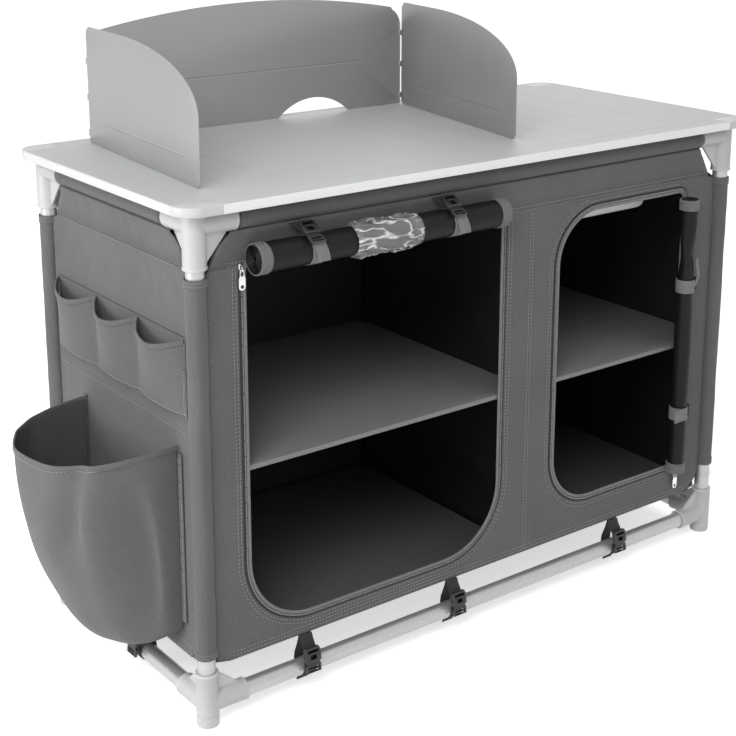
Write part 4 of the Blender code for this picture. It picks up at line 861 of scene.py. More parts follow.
def drawWorktopSkins():
    skin, s, trim = worktop["skin"], worktop["seam"], worktop["trim"]
    z0, z1 = topZ - skin, topZ
    capX = halfLength - worktop["cap"] - s
    x, y = halfLength - trim, halfDepth - trim
    for tag, a, b in (("front", -y, -insideY - s), ("back", insideY + s, y)):
        mesh = slabMesh("rimSkin", (-capX, a, z0), (capX, b, z1))
        if tag == "back":
            mesh = carve(mesh, pegSlots())
        addPiece(f"worktopRim_{tag}", mesh, "laminate", "worktop")
    gap = worktop["skinGap"]
    middle = boardsRight + worktop["fixedSeam"]
    spans = [("endLeft", -x, boardsLeft - gap), ("fixedA", boardsRight + gap, middle - s),
             ("fixedB", middle + s, lidBox[0].x - gap), ("endRight", lidBox[1].x + gap, x)]
    for tag, a, b in spans:
        addPiece("worktop_" + tag, slabMesh(tag, (a, -insideY, z0), (b, insideY, z1)), "laminate",
                 "worktop")
    section = (trim * 2, worktop["thickness"] - 0.0004, 0.0005)
    mid = topZ - worktop["thickness"] / 2
    capY = halfDepth - worktop["rim"] - s
    for tag, sign in (("front", -1), ("back", 1), ("left", -1), ("right", 1)):
        # the front and back trims take the lighter copy of the trim finish, a painted reflection
        if tag in ("front", "back"):
            path, side, finish = [(end, sign * y, mid) for end in (-capX, capX)], (0, 1, 0), "longTrimPaintedReflection"
        else:
            path, side, finish = [(sign * x, end, mid) for end in (-capY, capY)], (1, 0, 0), "trim"
        addPiece("worktopTrim_" + tag, sweptMesh("trim", path, section, side, angle=35), finish, "worktop")


def drawBoards():
    for i, (low, high) in enumerate(boardBoxes):
        mesh = slabMesh("board", tuple(low), tuple(high), [(low.x + high.x) / 2], 0.0005)
        addPiece(f"worktopBoard_{i + 1}", mesh, "laminate", "worktop", [f"worktop_board_{i + 1}"],
                 "worktop_board")
    low, high = lidBox
    grooves = [low.x + (high.x - low.x) * share for share in worktop["lidGrooves"]]
    addPiece("sinkLidBoard", slabMesh("lid", tuple(low), tuple(high), grooves, 0.0006), "laminate", "lid",
             ["sink_lid"], "worktop_board")


def capOutline(sx, sy, r):
    x0, y0 = halfLength, halfDepth
    x1, y1 = x0 - worktop["cap"], y0 - worktop["rim"]
    points = [(x1, y1), (x0, y1)] + arcPoints((x0 - r, y0 - r), r, 0, 90, 20) + [(x1, y0)]
    points = [(x * sx, y * sy) for x, y in points]
    return points if sx * sy > 0 else list(reversed(points))


def drawCaps():
    for tag, sx, sy, quarter in cornerPlaces:
        mesh = flatShape("cap", capOutline(sx, sy, worktop["capRadius"]), worktop["thickness"], (),
                         0.0012, 40)
        addPiece(f"cornerCap_{tag}", mesh, "moulded", "worktop", [f"corner_cap_{tag}"], "corner_plastic",
                 at=(0, 0, topZ - worktop["thickness"] / 2))


drawWorktopCore()
drawWorktopSkins()
drawBoards()
drawCaps()
print("worktop drawn")

# Basin
basin = {"wall": 0.0022, "ledgeX": 0.0123, "ledgeY": 0.0343, "draft": 0.004, "corner": 0.040, "sole": 0.010,
         "flangeGap": 0.0004, "flangeCorner": 0.004, "steps": 10}


def basinRing(inset, z, radius, flange=False):
    low, high = lidBox
    insetY = inset if flange else inset + basin["ledgeY"] - basin["ledgeX"]
    x0, x1 = low.x + inset, high.x - inset
    y0, y1 = low.y + insetY, high.y - insetY
    return [(x, y, z) for x, y in roundedOutline((x0, y0), (x1, y1), [radius] * 4, basin["steps"])]


def basinFoot(inset, z, radius):
    # the rounded foot of the basin's wall, from the sole up
    bend, rings = basin["sole"], []
    for i in range(6):
        a = math.radians(90 * i / 5)
        inward = bend * (1 - math.sin(a))
        rings.append(basinRing(inset + inward, z + bend * (1 - math.cos(a)), radius - inward))
    return rings


def drawBasin():
    boxLow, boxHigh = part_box("sink_basin")
    top, floor = boxHigh[2], boxLow[2]
    wall, sole, t = basin["ledgeX"], basin["ledgeX"] + basin["draft"], basin["wall"]
    corners, gap, flange = basin["corner"], basin["flangeGap"], basin["flangeCorner"]
    rows = basinFoot(sole, floor, corners)
    rows.append(basinRing(wall + 0.0015, top - t - 0.004, corners))
    rows.append(basinRing(wall, top - t, corners))
    rows.append(basinRing(gap, top - t, flange, True))
    rows.append(basinRing(gap, top, flange, True))
    rows.append(basinRing(wall + t * 0.6, top, corners - t))
    rows.append(basinRing(wall + t + 0.001, top - 0.0012, corners - t))
    rows += reversed(basinFoot(sole + t, floor + t, corners - t))
    addPiece("sinkBasinShell", gridMesh("basin", rows, wrap=True, caps=True, angle=50), "basin", "basin",
             ["sink_basin"], "basin_plastic")


drawBasin()
print("basin drawn")

# Windshield
shield = {"sheet": 0.0012, "endHeight": 0.1817, "arch": 0.028, "corner": 0.038, "slot": 0.0024,
          "strip": 0.0030, "curlMiddle": 0.0027, "curlHeight": 0.010, "curlPitch": 0.0585,
          "lowestCurl": 0.011, "curls": 3, "curlStart": 78, "curlSweep": 300, "ease": 0.0003,
          "offset": 0.0024, "leafEdge": 0.0036, "wingLength": 0.412, "wingHeight": 0.190,
          "wingFront": 0.098, "topRadius": 0.015, "footRadius": 0.012, "heelRadius": 0.0088,
          "leftTurn": -94.8, "rightTurn": -100.7, "pegWidth": 0.012, "pegReach": 0.009,
          "rearArchSetback": 0.367, "rearArchWidth": 0.152, "rearArchRise": 0.030}
shieldRib = {"width": 0.0044, "depth": 0.0009, "backHeight": 0.087, "backMargin": 0.092,
             "wingHeight": 0.040, "wingStart": 0.055, "wingMargin": 0.046}
shieldFoot = topZ + 0.0003


def curlSpans():
    starts = [shield["lowestCurl"] + i * shield["curlPitch"] for i in range(shield["curls"])]
    return [(start, start + shield["curlHeight"]) for start in starts]


def ribForm(x0, x1, z, halfWidth, halfDeep, y):
    # a long rib, elliptical in section and drawn to a round at each end
    ends = [(halfWidth * (1 - math.cos(math.radians(a))), math.sin(math.radians(a)))
            for a in (10, 25, 45, 65, 90)]
    stations = [(x0 + d, s) for d, s in ends] + [(x1 - d, s) for d, s in reversed(ends)]
    rows = [[(x, y + halfDeep * s * math.cos(t), z + halfWidth * s * math.sin(t)) for t in ringAngles(24)]
            for x, s in stations]
    return gridMesh("rib", rows, wrap=True, caps=True)


def pressRib(mesh, x0, x1, z, outer):
    # proud on the outer face and hollow on the inner one, as pressed sheet is
    w, d, t = shieldRib["width"] / 2, shieldRib["depth"], shield["sheet"] / 2
    mesh = carve(mesh, [ribForm(x0, x1, z, w, d + t * 0.5, outer * t * 0.5)], "UNION")
    return carve(mesh, [ribForm(x0, x1, z, w * 0.75, d, -outer * t)])


def curlMesh(low, high, outer):
    # the tab of a wing, rolled back on itself round the strip at the back panel's edge
    r, mid = shield["curlMiddle"], (low + high) / 2
    path = [(shield["leafEdge"] + 0.0022, outer * shield["offset"], mid),
            (0.0030, outer * (shield["offset"] + 0.0001), mid)]
    for x, y in arcPoints((0, 0), r, shield["curlStart"], shield["curlStart"] + shield["curlSweep"], 24):
        path.append((x, outer * y, mid))
    return sweptMesh("curl", path, (high - low, shield["sheet"] * 0.96, shield["ease"]), (0, 0, 1),
                     angle=35)


def wingOutline():
    length, high, low = shield["wingLength"], shield["wingHeight"], shield["wingFront"]
    edge, r, tr, hr = shield["leafEdge"], shield["footRadius"], shield["topRadius"], shield["heelRadius"]
    foot = arcPoints((length - r, r), r, 270, 360, 8)
    start = length * 0.30
    fall = [(start + (length - start) * math.cos(a) ** 0.9, low + (high - low) * math.sin(a) ** 0.9)
            for a in [math.radians(degrees) for degrees in spread(0, 90, 36)]]
    heel = arcPoints((edge + hr, hr), hr, 180, 270, 6)
    return heel + foot + fall + arcPoints((edge + tr, high - tr), tr, 90, 180, 8)


def backOutline(x0, x1):
    e, c = shield["endHeight"], shield["corner"]
    top = [(x1 - c * 0.6 - (x1 - x0 - c * 1.2) * t, e + shield["arch"] * (1 - (2 * t - 1) ** 2))
           for t in spread(0, 1, 40)]
    return ([(x0, 0), (x1, 0)] + arcPoints((x1 - c, e - c), c, 0, 60, 10) + top
            + arcPoints((x0 + c, e - c), c, 120, 180, 10))


def backPanelMesh():
    x0, x1 = hingeX["left"] - shield["strip"] / 2, hingeX["right"] + shield["strip"] / 2
    mesh = moved(flatShape("panel", backOutline(x0, x1), shield["sheet"], (), shield["ease"]), turn=upright)
    half, t = shield["pegWidth"] / 2, shield["sheet"] * 0.45
    pegs = [boxMesh("peg", (x - half, -t, -shield["pegReach"]), (x + half, t, half)) for x in pegX]
    mesh = carve(mesh, pegs, "UNION")
    margin, height = shieldRib["backMargin"], shieldRib["backHeight"]
    mesh = pressRib(mesh, hingeX["left"] + margin, hingeX["right"] - margin, height, 1)
    half, rise = shield["rearArchWidth"] / 2, shield["rearArchRise"]
    radius = (half * half + rise * rise) / (2 * rise)
    middle = (hingeX["left"] + shield["rearArchSetback"] + half, 0, rise - radius)
    through = 0.01  # the cutters' reach past the sheet
    disc = turnedRows([(radius, -through), (radius, through)], 128, upright, middle)
    cutters = [gridMesh("arch", disc, wrap=True, caps=True)]
    for edge, inward in ((x0, 1), (x1, -1)):
        near, far = sorted((edge + inward * shield["strip"],
                            edge + inward * (shield["strip"] + shield["slot"])))
        cutters += [boxMesh("slot", (near, -through, low - shield["ease"]),
                            (far, through, high + shield["ease"]))
                    for low, high in curlSpans()]
    return carve(mesh, cutters)


def wingMesh(outer):
    leaf = moved(flatShape("wing", wingOutline(), shield["sheet"], (), shield["ease"]), turn=upright)
    ribEnd = shield["wingLength"] - shieldRib["wingMargin"]
    leaf = pressRib(leaf, shieldRib["wingStart"], ribEnd, shieldRib["wingHeight"], outer)
    leaf = moved(leaf, (0, outer * shield["offset"], 0))
    return carve(leaf, [curlMesh(low, high, outer) for low, high in curlSpans()], "UNION")


def drawShield():
    addPiece("windshieldPanel", backPanelMesh(), "sheet", "windshield", ["windshield_back"], "steel_sheet",
             at=(0, hingeY, shieldFoot))
    for side, outer in (("left", -1), ("right", 1)):
        addPiece(f"windshieldWing_{side}", wingMesh(outer), "sheet", f"wing_{side}",
                 [f"windshield_wing_{side}"],
                 "steel_sheet", at=(hingeX[side], hingeY, shieldFoot),
                 turn=(0, 0, math.radians(shield[side + "Turn"])))


drawShield()
print("windshield drawn")

# Fabric cupboard
cloth = {"thickness": 0.0011, "hem": 0.090, "sleeveLow": 0.111, "sleeveHigh": 0.692, "sleeveR": 0.0152,
         "seamZ": 0.704, "railEnd": 0.067, "shelfZ": 0.392, "shelf": 0.008, "dividerX": 0.085,
         "proud": 0.0003, "webFoot": 0.0176, "webLow": 0.711, "webSlope": 0.84, "closeGap": 0.0025,
         "openGap": 0.016, "footCurve": (0.058, 0.047), "frontPitch": 0.0075, "backPitch": 0.014,
         "sidePitch": 0.007}
# waves in the cloth: depth, seed, scale across and scale up
clothWaves = {
    "front": ((0.0030, 1, 9, 2.4), (0.0012, 2, 30, 8)),
    "back": ((0.0045, 5, 5, 2.0), (0.0015, 6, 20, 6)),
    "left": ((0.0030, 30, 7, 3), (0.0012, 33, 24, 9)),
    "right": ((0.0030, 32, 7, 3), (0.0012, 33, 24, 9)),
}
gather = {"x": -0.42, "z": 0.13, "wide": 0.07, "high": 0.05, "depth": 0.0022}
lowFold = {"z": 0.112, "high": 0.03, "depth": 0.0012}
slackFold = {"z": 0.652, "high": 0.034, "calm": 0.25, "calmFrom": 0.60, "calmTo": 0.66}
leftDoor = {"low": (-0.466, 0.128), "high": (0.020, 0.700), "radii": (0.110, 0.110, 0.012, 0.012)}
rightDoor = {"low": (0.150, 0.157), "high": (0.450, 0.677), "radii": (0.088, 0.012, 0.012, 0.088)}
doorOutlines = [roundedOutline(d["low"], d["high"], d["radii"], 14) for d in (leftDoor, rightDoor)]


def insideOutline(x, z, outline):
    inside = False
    for (x0, z0), (x1, z1) in zip(outline, outline[1:] + outline[:1]):
        if (z0 > z) != (z1 > z) and x < (x1 - x0) * (z - z0) / (z1 - z0) + x0:
            inside = not inside
    return inside


def nearestOn(x, z, outline):
    best, spot = 1e9, (x, z)
    for (x0, z0), (x1, z1) in zip(outline, outline[1:] + outline[:1]):
        dx, dz = x1 - x0, z1 - z0
        span = dx * dx + dz * dz
        if span < 1e-14:
            continue
        t = min(max(((x - x0) * dx + (z - z0) * dz) / span, 0), 1)
        px, pz = x0 + dx * t, z0 + dz * t
        gap = (px - x) ** 2 + (pz - z) ** 2
        if gap < best:
            best, spot = gap, (px, pz)
    return spot, math.sqrt(best)


def panelSheet(name, outline, holes, pitch, lift, facing):
    # a fine grid cut to the outline and its holes, its border drawn onto the cut lines
    xs, zs = [p[0] for p in outline], [p[1] for p in outline]
    nx = round((max(xs) - min(xs)) / pitch)
    nz = round((max(zs) - min(zs)) / pitch)
    shape = bmesh.new()
    stepX, stepZ = (max(xs) - min(xs)) / nx, (max(zs) - min(zs)) / nz
    grid = {}

    def gridVert(i, j):
        if (i, j) not in grid:
            grid[(i, j)] = shape.verts.new((min(xs) + i * stepX, 0, min(zs) + j * stepZ))
        return grid[(i, j)]

    for i in range(nx):
        for j in range(nz):
            x, z = min(xs) + (i + 0.5) * stepX, min(zs) + (j + 0.5) * stepZ
            if not insideOutline(x, z, outline) or any(insideOutline(x, z, hole) for hole in holes):
                continue
            shape.faces.new((gridVert(i, j), gridVert(i + 1, j), gridVert(i + 1, j + 1),
                             gridVert(i, j + 1)))
    rings = [outline, *holes]
    for vert in shape.verts:
        if any(edge.is_boundary for edge in vert.link_edges):
            spots = [nearestOn(vert.co.x, vert.co.z, ring) for ring in rings]
            (x, z), gap = min(spots, key=lambda s: s[1])
            if gap < pitch * 1.1:
                vert.co.x, vert.co.z = x, z
    for vert in shape.verts:
        vert.co = lift(vert.co.x, vert.co.z)
    bmesh.ops.recalc_face_normals(shape, faces=shape.faces)
    facing = Vector(facing)
    shape.normal_update()
    if sum((face.normal.dot(facing) for face in shape.faces)) < 0:
        bmesh.ops.reverse_faces(shape, faces=shape.faces)
    return fromBmesh(name, shape, 60)


def cornerEdge(z, gap):
    # how far from the leg's axis the cloth stays, beside a connector and its web
    return cloth["webFoot"] + gap + max(0.0, z - cloth["webLow"]) * cloth["webSlope"]


def longOutline(row):
    # meets the leg sleeves at the sides, close to the front left connector and clear of the others
    x, top = legX - cloth["sleeveR"] * 0.9, cloth["seamZ"] + 0.002
    ends = {}
    for side in ("left", "right"):
        gap = cloth["closeGap"] if (row, side) == ("front", "left") else cloth["openGap"]
        foot = [(legX - 0.040, cloth["hem"] - 0.0006), (legX - 0.020, cloth["hem"] + 0.006),
                (x, cloth["sleeveLow"] - 0.002)]
        if (row, side) == ("front", "right"):
            wide, high = cloth["footCurve"]
            foot = [(x - wide + wide * math.sin(math.radians(a)),
                     cloth["hem"] + high - high * math.cos(math.radians(a)))
                    for a in range(0, 91, 9)]
        ends[side] = foot + [(x, cloth["sleeveHigh"] - 0.001),
                             (legX - cornerEdge(top, gap), cloth["sleeveHigh"] + 0.005),
                             (legX - cornerEdge(top, gap), top)]
    return ends["right"] + [(-a, b) for a, b in reversed(ends["left"])]


def waveDepth(panel, a, b):
    return sum(depth * ripple(a, b, seed, across, up) for depth, seed, across, up in clothWaves[panel])


def edgeFade(x, z, halfWidth, rings=()):
    # calms the waves towards the sleeves, the hem, the seam and the doors
    fade = smoothStep(0.0, 0.05, halfWidth - abs(x)) * smoothStep(0.0, 0.03, z - cloth["hem"])
    fade *= smoothStep(0.0, 0.04, cloth["seamZ"] - z)
    for ring in rings:
        fade *= 0.25 + 0.75 * smoothStep(0.0, 0.03, nearestOn(x, z, ring)[1])
    return fade


def frontLift(x, z):
    fade = edgeFade(x, z, legX, doorOutlines)
    seam = 1 - math.exp(-((x - cloth["dividerX"]) / 0.012) ** 2)
    wave = waveDepth("front", x, z)
    # gathers that run down and out from the lower left of the left door
    dx, dz = x - gather["x"], z - gather["z"]
    near = math.exp(-((dx / gather["wide"]) ** 2 + (dz / gather["high"]) ** 2))
    wave += gather["depth"] * near * math.sin(95 * dx + 60 * dz)
    # low folds above the hem
    low = math.exp(-((z - lowFold["z"]) / lowFold["high"]) ** 2)
    wave += lowFold["depth"] * low * math.sin(38 * x + 3 * math.sin(11 * x))
    return Vector((x, -legY - cloth["proud"] + wave * fade * (0.35 + 0.65 * seam) - 0.0006 * (1 - seam), z))


def backLift(x, z):
    # bulges outwards only, clear of the shelves behind it
    return Vector((x, legY + cloth["proud"] + abs(waveDepth("back", x, z)) * edgeFade(x, z, legX), z))


def ringArea(ring):
    return abs(sum(a[0] * b[1] - b[0] * a[1] for a, b in zip(ring, ring[1:] + ring[:1]))) / 2


def drawLongPanels():
    height = cloth["seamZ"] - cloth["hem"]
    for row, sign, holes, lift in (("front", -1, doorOutlines, frontLift), ("back", 1, [], backLift)):
        mesh = panelSheet(f"{row}Panel", longOutline(row), holes, cloth[row + "Pitch"], lift, (0, sign, 0))
        panel = addPiece(f"{row}Panel", mesh, "canvas", "frame", [f"cabinet_{row}"], "canvas",
                         second="coating")
        thicken(panel, cloth["thickness"], -1.0, True)
        area = 2 * legX * height - sum(ringArea(hole) for hole in holes)


def railSection(seamZ, depth):
    # a round tunnel over the rail, drawn in under it, then two layers down to the seam
    r = cloth["sleeveR"]
    front = [(-depth, seamZ), (-depth * 1.3, railZ - r * 2.5), (-r * 0.30, railZ - r * 1.75),
             (-r * 0.50, railZ - r * 1.32), (-r * 0.48, railZ - r * 1.20), (-r * 0.10, railZ - r * 1.08)]
    over = [(r * math.cos(a), railZ + r * math.sin(a))
            for a in [math.radians(240 - 12 * i) for i in range(26)]]
    return front + over + [(-off, z) for off, z in reversed(front)]


railSleeve = {"belowSeam": 0.004, "depth": 0.0016, "swell": 0.05, "pucker": 0.0012, "puckerZ": 0.729,
              "puckerHigh": 0.014, "binding": 0.012, "bindingSwell": 1.05, "turnedIn": 0.035}


def drawRailSleeve(tag, gaps):
    # the doubled hem that wraps the rail, its layers cut back beside the connectors, with a bound edge
    section = railSection(cloth["seamZ"] - railSleeve["belowSeam"], railSleeve["depth"])
    reach = legX if tag in ("front", "back") else legY
    half = reach - cloth["railEnd"]
    rows = []
    for u in spread(-1, 1, max(30, int(half / 0.005))):
        gap = gaps[0] if u < 0 else gaps[1]
        row = []
        for off, z in section:
            end = half if z > railZ - cloth["sleeveR"] else reach - cornerEdge(z, gap)
            s = u * end
            inner = smoothStep(0.0, 0.05, end - abs(s))
            swell = 1 + railSleeve["swell"] * ripple(s, z, 11, 22, 20) * inner
            pucker = railSleeve["pucker"] * math.sin(120 * s + 9 * ripple(s, 0, 12, 10, 1)) * inner
            pucker *= math.exp(-((z - railSleeve["puckerZ"]) / railSleeve["puckerHigh"]) ** 2)
            bound = railSleeve["bindingSwell"] if abs(u) > 1 - railSleeve["binding"] / half else 1.0
            row.append((s, off * swell * bound + (pucker if off < 0 else 0), z))
        rows.append(row)
    sign = -1 if tag in ("front", "left") else 1
    if tag in ("front", "back"):
        rows = [[(s, sign * legY - sign * off, z) for s, off, z in row] for row in rows]
    else:
        rows = [[(sign * legX - sign * off, s, z) for s, off, z in row] for row in rows]
    piece = addPiece(tag + "RailSleeve", gridMesh(tag + "RailSleeve", rows, angle=60), "canvas", "frame",
                     [f"cabinet_{tag}"], "canvas")
    thicken(piece, cloth["thickness"] * 0.8, 0.0)
    girth = sum(math.dist(a, b) for a, b in zip(section, section[1:]))


legSleeve = {"steps": 110, "sides": 36, "hem": 0.013, "hemEdge": 0.0005, "hemProud": 0.0012,
             "slack": 0.0010, "creases": 0.0006, "gap": 0.0002, "thickness": 0.0008}


def drawLegSleeve(tag, sx, sy):
    # a tunnel of cloth round the leg, with a turned hem at each end and slack creases
    low, high, r = cloth["sleeveLow"], cloth["sleeveHigh"], cloth["sleeveR"]
    if tag == "front_right":
        low = cloth["hem"] + cloth["footCurve"][1]
    rows = []
    hem, edge = legSleeve["hem"], legSleeve["hemEdge"]
    heights = spread(low, high, legSleeve["steps"])
    heights += [low + hem - edge, low + hem + edge, high - hem + edge, high - hem - edge]
    for z in sorted(heights):
        proud = legSleeve["hemProud"] if (z < low + hem or z > high - hem) else 0
        inner = smoothStep(0.0, 0.06, min(z - low, high - z))
        ring = []
        for a in ringAngles(legSleeve["sides"]):
            wave = ripple(math.cos(a) * 0.5 + sx, z + math.sin(a) * 0.2, 20 + sy, 3, 9)
            slack = legSleeve["slack"] * wave * inner
            slack += legSleeve["creases"] * ripple(a, z, 23 + sx, 1.2, 34) * inner
            radius = r + legSleeve["gap"] + proud + max(slack, -legSleeve["creases"])
            ring.append((sx * legX + radius * math.cos(a), sy * legY + radius * math.sin(a), z))
        rows.append(ring)
    mesh = gridMesh("legSleeve", rows, wrap=True, angle=60)
    row = "front" if sy < 0 else "back"
    piece = addPiece(f"legSleeve_{tag}", mesh, "canvas", "frame", [f"cabinet_{row}"], "canvas")
    thicken(piece, legSleeve["thickness"], -1.0)


def sideLift(side):
    sign = -1 if side == "left" else 1

    def lift(y, z):
        fade = smoothStep(0.0, 0.04, legY - cloth["sleeveR"] - abs(y))
        fade *= smoothStep(0.0, 0.03, z - cloth["hem"]) * smoothStep(0.0, 0.03, cloth["seamZ"] - z)
        wave = waveDepth(side, y, z)
        # the right side bulges outwards, the left one inwards and less behind its pockets
        inwards = -1.0
        if side == "left":
            calm = slackFold["calm"]
            inwards = calm + (1 - calm) * smoothStep(slackFold["calmFrom"], slackFold["calmTo"], z)
            # slack folds that hang slantwise over the pockets
            upper = math.exp(-((z - slackFold["z"]) / slackFold["high"]) ** 2)
            wave += upper * 0.0042 * ripple(y + 0.5 * z, z, 35, 16, 11)
            wave += upper * 0.0022 * ripple(y - 0.8 * z, z, 36, 34, 22)
        return Vector((sign * (legX + cloth["proud"]) - sign * abs(wave) * fade * inwards, y, z))
    return lift


def drawSidePanels():
    y = legY - cloth["sleeveR"] * 0.96
    low = cloth["hem"] + 0.012
    top = cloth["seamZ"] + 0.001
    for side, sign in (("left", -1), ("right", 1)):
        ends = []
        for gap in (cloth["openGap"], cloth["closeGap"] if side == "left" else cloth["openGap"]):
            edge = legY - cornerEdge(top, gap)
            ends.append([(y - 0.026, cloth["hem"] - 0.0004), (y - 0.018, low), (y, low),
                         (y, cloth["sleeveHigh"] - 0.002),
                         (edge, cloth["sleeveHigh"] + 0.005), (edge, top)])
        outline = ends[0] + [(-a, b) for a, b in reversed(ends[1])]
        mesh = panelSheet(f"{side}Panel", outline, [], cloth["sidePitch"], sideLift(side), (sign, 0, 0))
        panel = addPiece(f"{side}Panel", mesh, "canvas", "frame", [f"cabinet_{side}"], "canvas",
                         second="coating")
        thicken(panel, cloth["thickness"], -1.0, True)


innerCloth = {"floorInset": (0.0018, 0.0006), "floorThickness": 0.0010, "sag": 0.0012, "corner": 0.036,
              "cornerFrom": 0.93, "dividerFoot": 0.0925, "dividerWave": 0.0018, "dividerThickness": 0.0012,
              "ledgeWidth": 0.025, "ledgeThickness": 0.0012, "ledgeGap": 0.0008, "ledgeEnd": 0.001}


def drawInnerCloth():
    x, y = legX - innerCloth["floorInset"][0], legY - innerCloth["floorInset"][1]
    # bottom sheet, sagging slightly, its ends drawn in round the legs
    rows = []
    for v in spread(-1, 1, 24):
        row = []
        for u in spread(-1, 1, 56):
            squeeze = innerCloth["corner"] * max(0.0, (abs(u) - innerCloth["cornerFrom"]) / 0.07) ** 2
            sag = innerCloth["sag"] * (1 - u * u) * (1 - v * v)
            row.append((u * x, v * (y - squeeze), cloth["hem"] - 0.0006 - sag))
        rows.append(row)
    floor = addPiece("bottomPanel", gridMesh("bottomPanel", rows), "canvas", "frame", ["cabinet_inner"],
                     "canvas")
    thicken(floor, innerCloth["floorThickness"], 0.0)
    d, foot = cloth["dividerX"], innerCloth["dividerFoot"]
    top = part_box("cabinet_inner")[1][2]
    rows = []
    for z in spread(foot, top, 39):
        rows.append([(d + innerCloth["dividerWave"] * ripple(v * y, z, 41, 9, 4) * (1 - v * v), v * y, z)
                     for v in spread(-1, 1, 30)])
    divider = addPiece("dividerPanel", gridMesh("divider", rows), "coating", "frame", ["cabinet_inner"],
                       "canvas")
    thicken(divider, innerCloth["dividerThickness"], 0.0)
    # the strips that the shelves lie on
    ledge = cloth["shelfZ"] - cloth["shelf"] - innerCloth["ledgeGap"]
    wide, end, side, back = innerCloth["ledgeWidth"], innerCloth["ledgeEnd"], y - 0.05, 0.04
    for name, x0, x1, y0, y1 in (("dividerLedge", d - wide, d + wide, -side, side),
                                 ("leftLedge", -legX + end, -legX + wide, -side, side),
                                 ("rightLedge", legX - wide, legX - end, -side, side),
                                 ("backLedgeLeft", -legX + back, d - back, legY - wide, legY - end),
                                 ("backLedgeRight", d + back, legX - back, legY - wide, legY - end)):
        strip = slabMesh(name, (x0, y0, ledge - innerCloth["ledgeThickness"]), (x1, y1, ledge), (), 0.0003)
        addPiece(name, strip, "coating")


shelf = {"corner": 0.036, "ease": 0.0012, "edgingCorner": 0.0348, "edging": (0.0078, 0.0022, 0.0009)}


def drawShelves():
    ease = shelf["ease"]
    # the floor boards take the darker copy of the shelf laminate, a painted shade
    for kind, finish in (("shelf", "shelf"), ("floor_board", "floorBoardPaintedShade")):
        for side in ("left", "right"):
            low, high = unitBox(f"{kind}_{side}")
            mid, thick = (low.z + high.z) / 2, high.z - low.z
            outline = roundedOutline((low.x, low.y), (high.x, high.y), [shelf["corner"]] * 4, 10)
            mesh = flatShape(kind, outline, thick, (), ease, 40)
            addPiece(f"{kind}_{side}_panel", mesh, finish, "frame", [f"{kind}_{side}"], "shelf_board",
                     at=(0, 0, mid))
            if kind == "shelf":
                ring = roundedOutline((low.x + ease, low.y + ease), (high.x - ease, high.y - ease),
                                      [shelf["edgingCorner"]] * 4, 10)
                edging = sweptMesh("edging", [(x, y, mid) for x, y in ring], shelf["edging"], (0, 0, 1),
                                   True, 40)
                addPiece(f"{kind}_{side}_edging", edging, "trim")


drawLongPanels()
for sleeveTag, firstGap in (("front", "closeGap"), ("back", "openGap"), ("left", "closeGap"),
                            ("right", "openGap")):
    drawRailSleeve(sleeveTag, (cloth[firstGap], cloth["openGap"]))
for tag, sx, sy, quarter in cornerPlaces:
    drawLegSleeve(tag, sx, sy)
drawSidePanels()
drawInnerCloth()
drawShelves()
print("cupboard drawn")

# Door edges, zips and seams
# around each door: offset from its edge, how proud it stands, and the tape's width, height and rounding
doorEdge = {"binding": (0.0015, 0.0006, (0.0030, 0.0055, 0.0012)),
            "tape": (0.0075, 0.0004, (0.0012, 0.0075, 0.0004)), "teeth": (0.0063, 0.0011),
            "stitches": (0.0150, 0.0205), "stitchProud": 0.0005}
frontStitch = {"aboveSeam": 0.0010, "belowSeam": 0.0055, "railProud": 0.0022, "panelProud": 0.0006,
               "railEnd": 0.495, "hemEnd": 0.50, "hem": (0.006, 0.012), "divider": 0.003,
               "dividerEnds": (0.096, 0.694)}
sideStitch = {"proud": 0.0008, "lines": ((0.175, "seamZ", -0.001), (0.18, "seamZ", -0.0065),
                                         (0.205, "hem", 0.019),
                                         (0.212, "hem", 0.360))}


def offsetOutline(outline, distance):
    points = []
    count = len(outline)
    for i, (x, z) in enumerate(outline):
        x0, z0 = outline[i - 1]
        x1, z1 = outline[(i + 1) % count]
        dx, dz = x1 - x0, z1 - z0
        span = math.hypot(dx, dz) or 1.0
        points.append((x + dz / span * distance, z - dx / span * distance))
    return points


def denser(points, step=0.006, closed=True):
    result = []
    ends = points[1:] + points[:1] if closed else points[1:]
    for (x0, z0), (x1, z1) in zip(points, ends):
        count = max(1, int(math.hypot(x1 - x0, z1 - z0) / step))
        for k in range(count):
            result.append((x0 + (x1 - x0) * k / count, z0 + (z1 - z0) * k / count))
    if not closed:
        result.append(points[-1])
    return result


def onFront(points, proud=0.0):
    return [(x, frontLift(x, z).y - proud, z) for x, z in points]


def drawDoorEdge(tag, outline):
    dense = denser(outline)
    for band, label, step, finish in (("binding", "Binding", None, "webbing"),
                                      ("tape", "ZipTape", 0.004, "darkWebbing")):
        offset, proud, section = doorEdge[band]
        line = offsetOutline(dense, offset)
        line = onFront(denser(line, step) if step else line, proud)
        addPiece(f"{tag}Door{label}", sweptMesh(band, line, section, (0, 1, 0), True), finish)
    offset, proud = doorEdge["teeth"]
    teeth = onFront(offsetOutline(dense, offset), proud)
    addStitches(f"{tag}DoorZipTeeth", [(teeth + teeth[:1], (0, -1, 0))], zipTooth, "zipTeeth")


def frontRun(start, end, proud):
    return onFront(denser([start, end], closed=False), proud), (0, -1, 0)


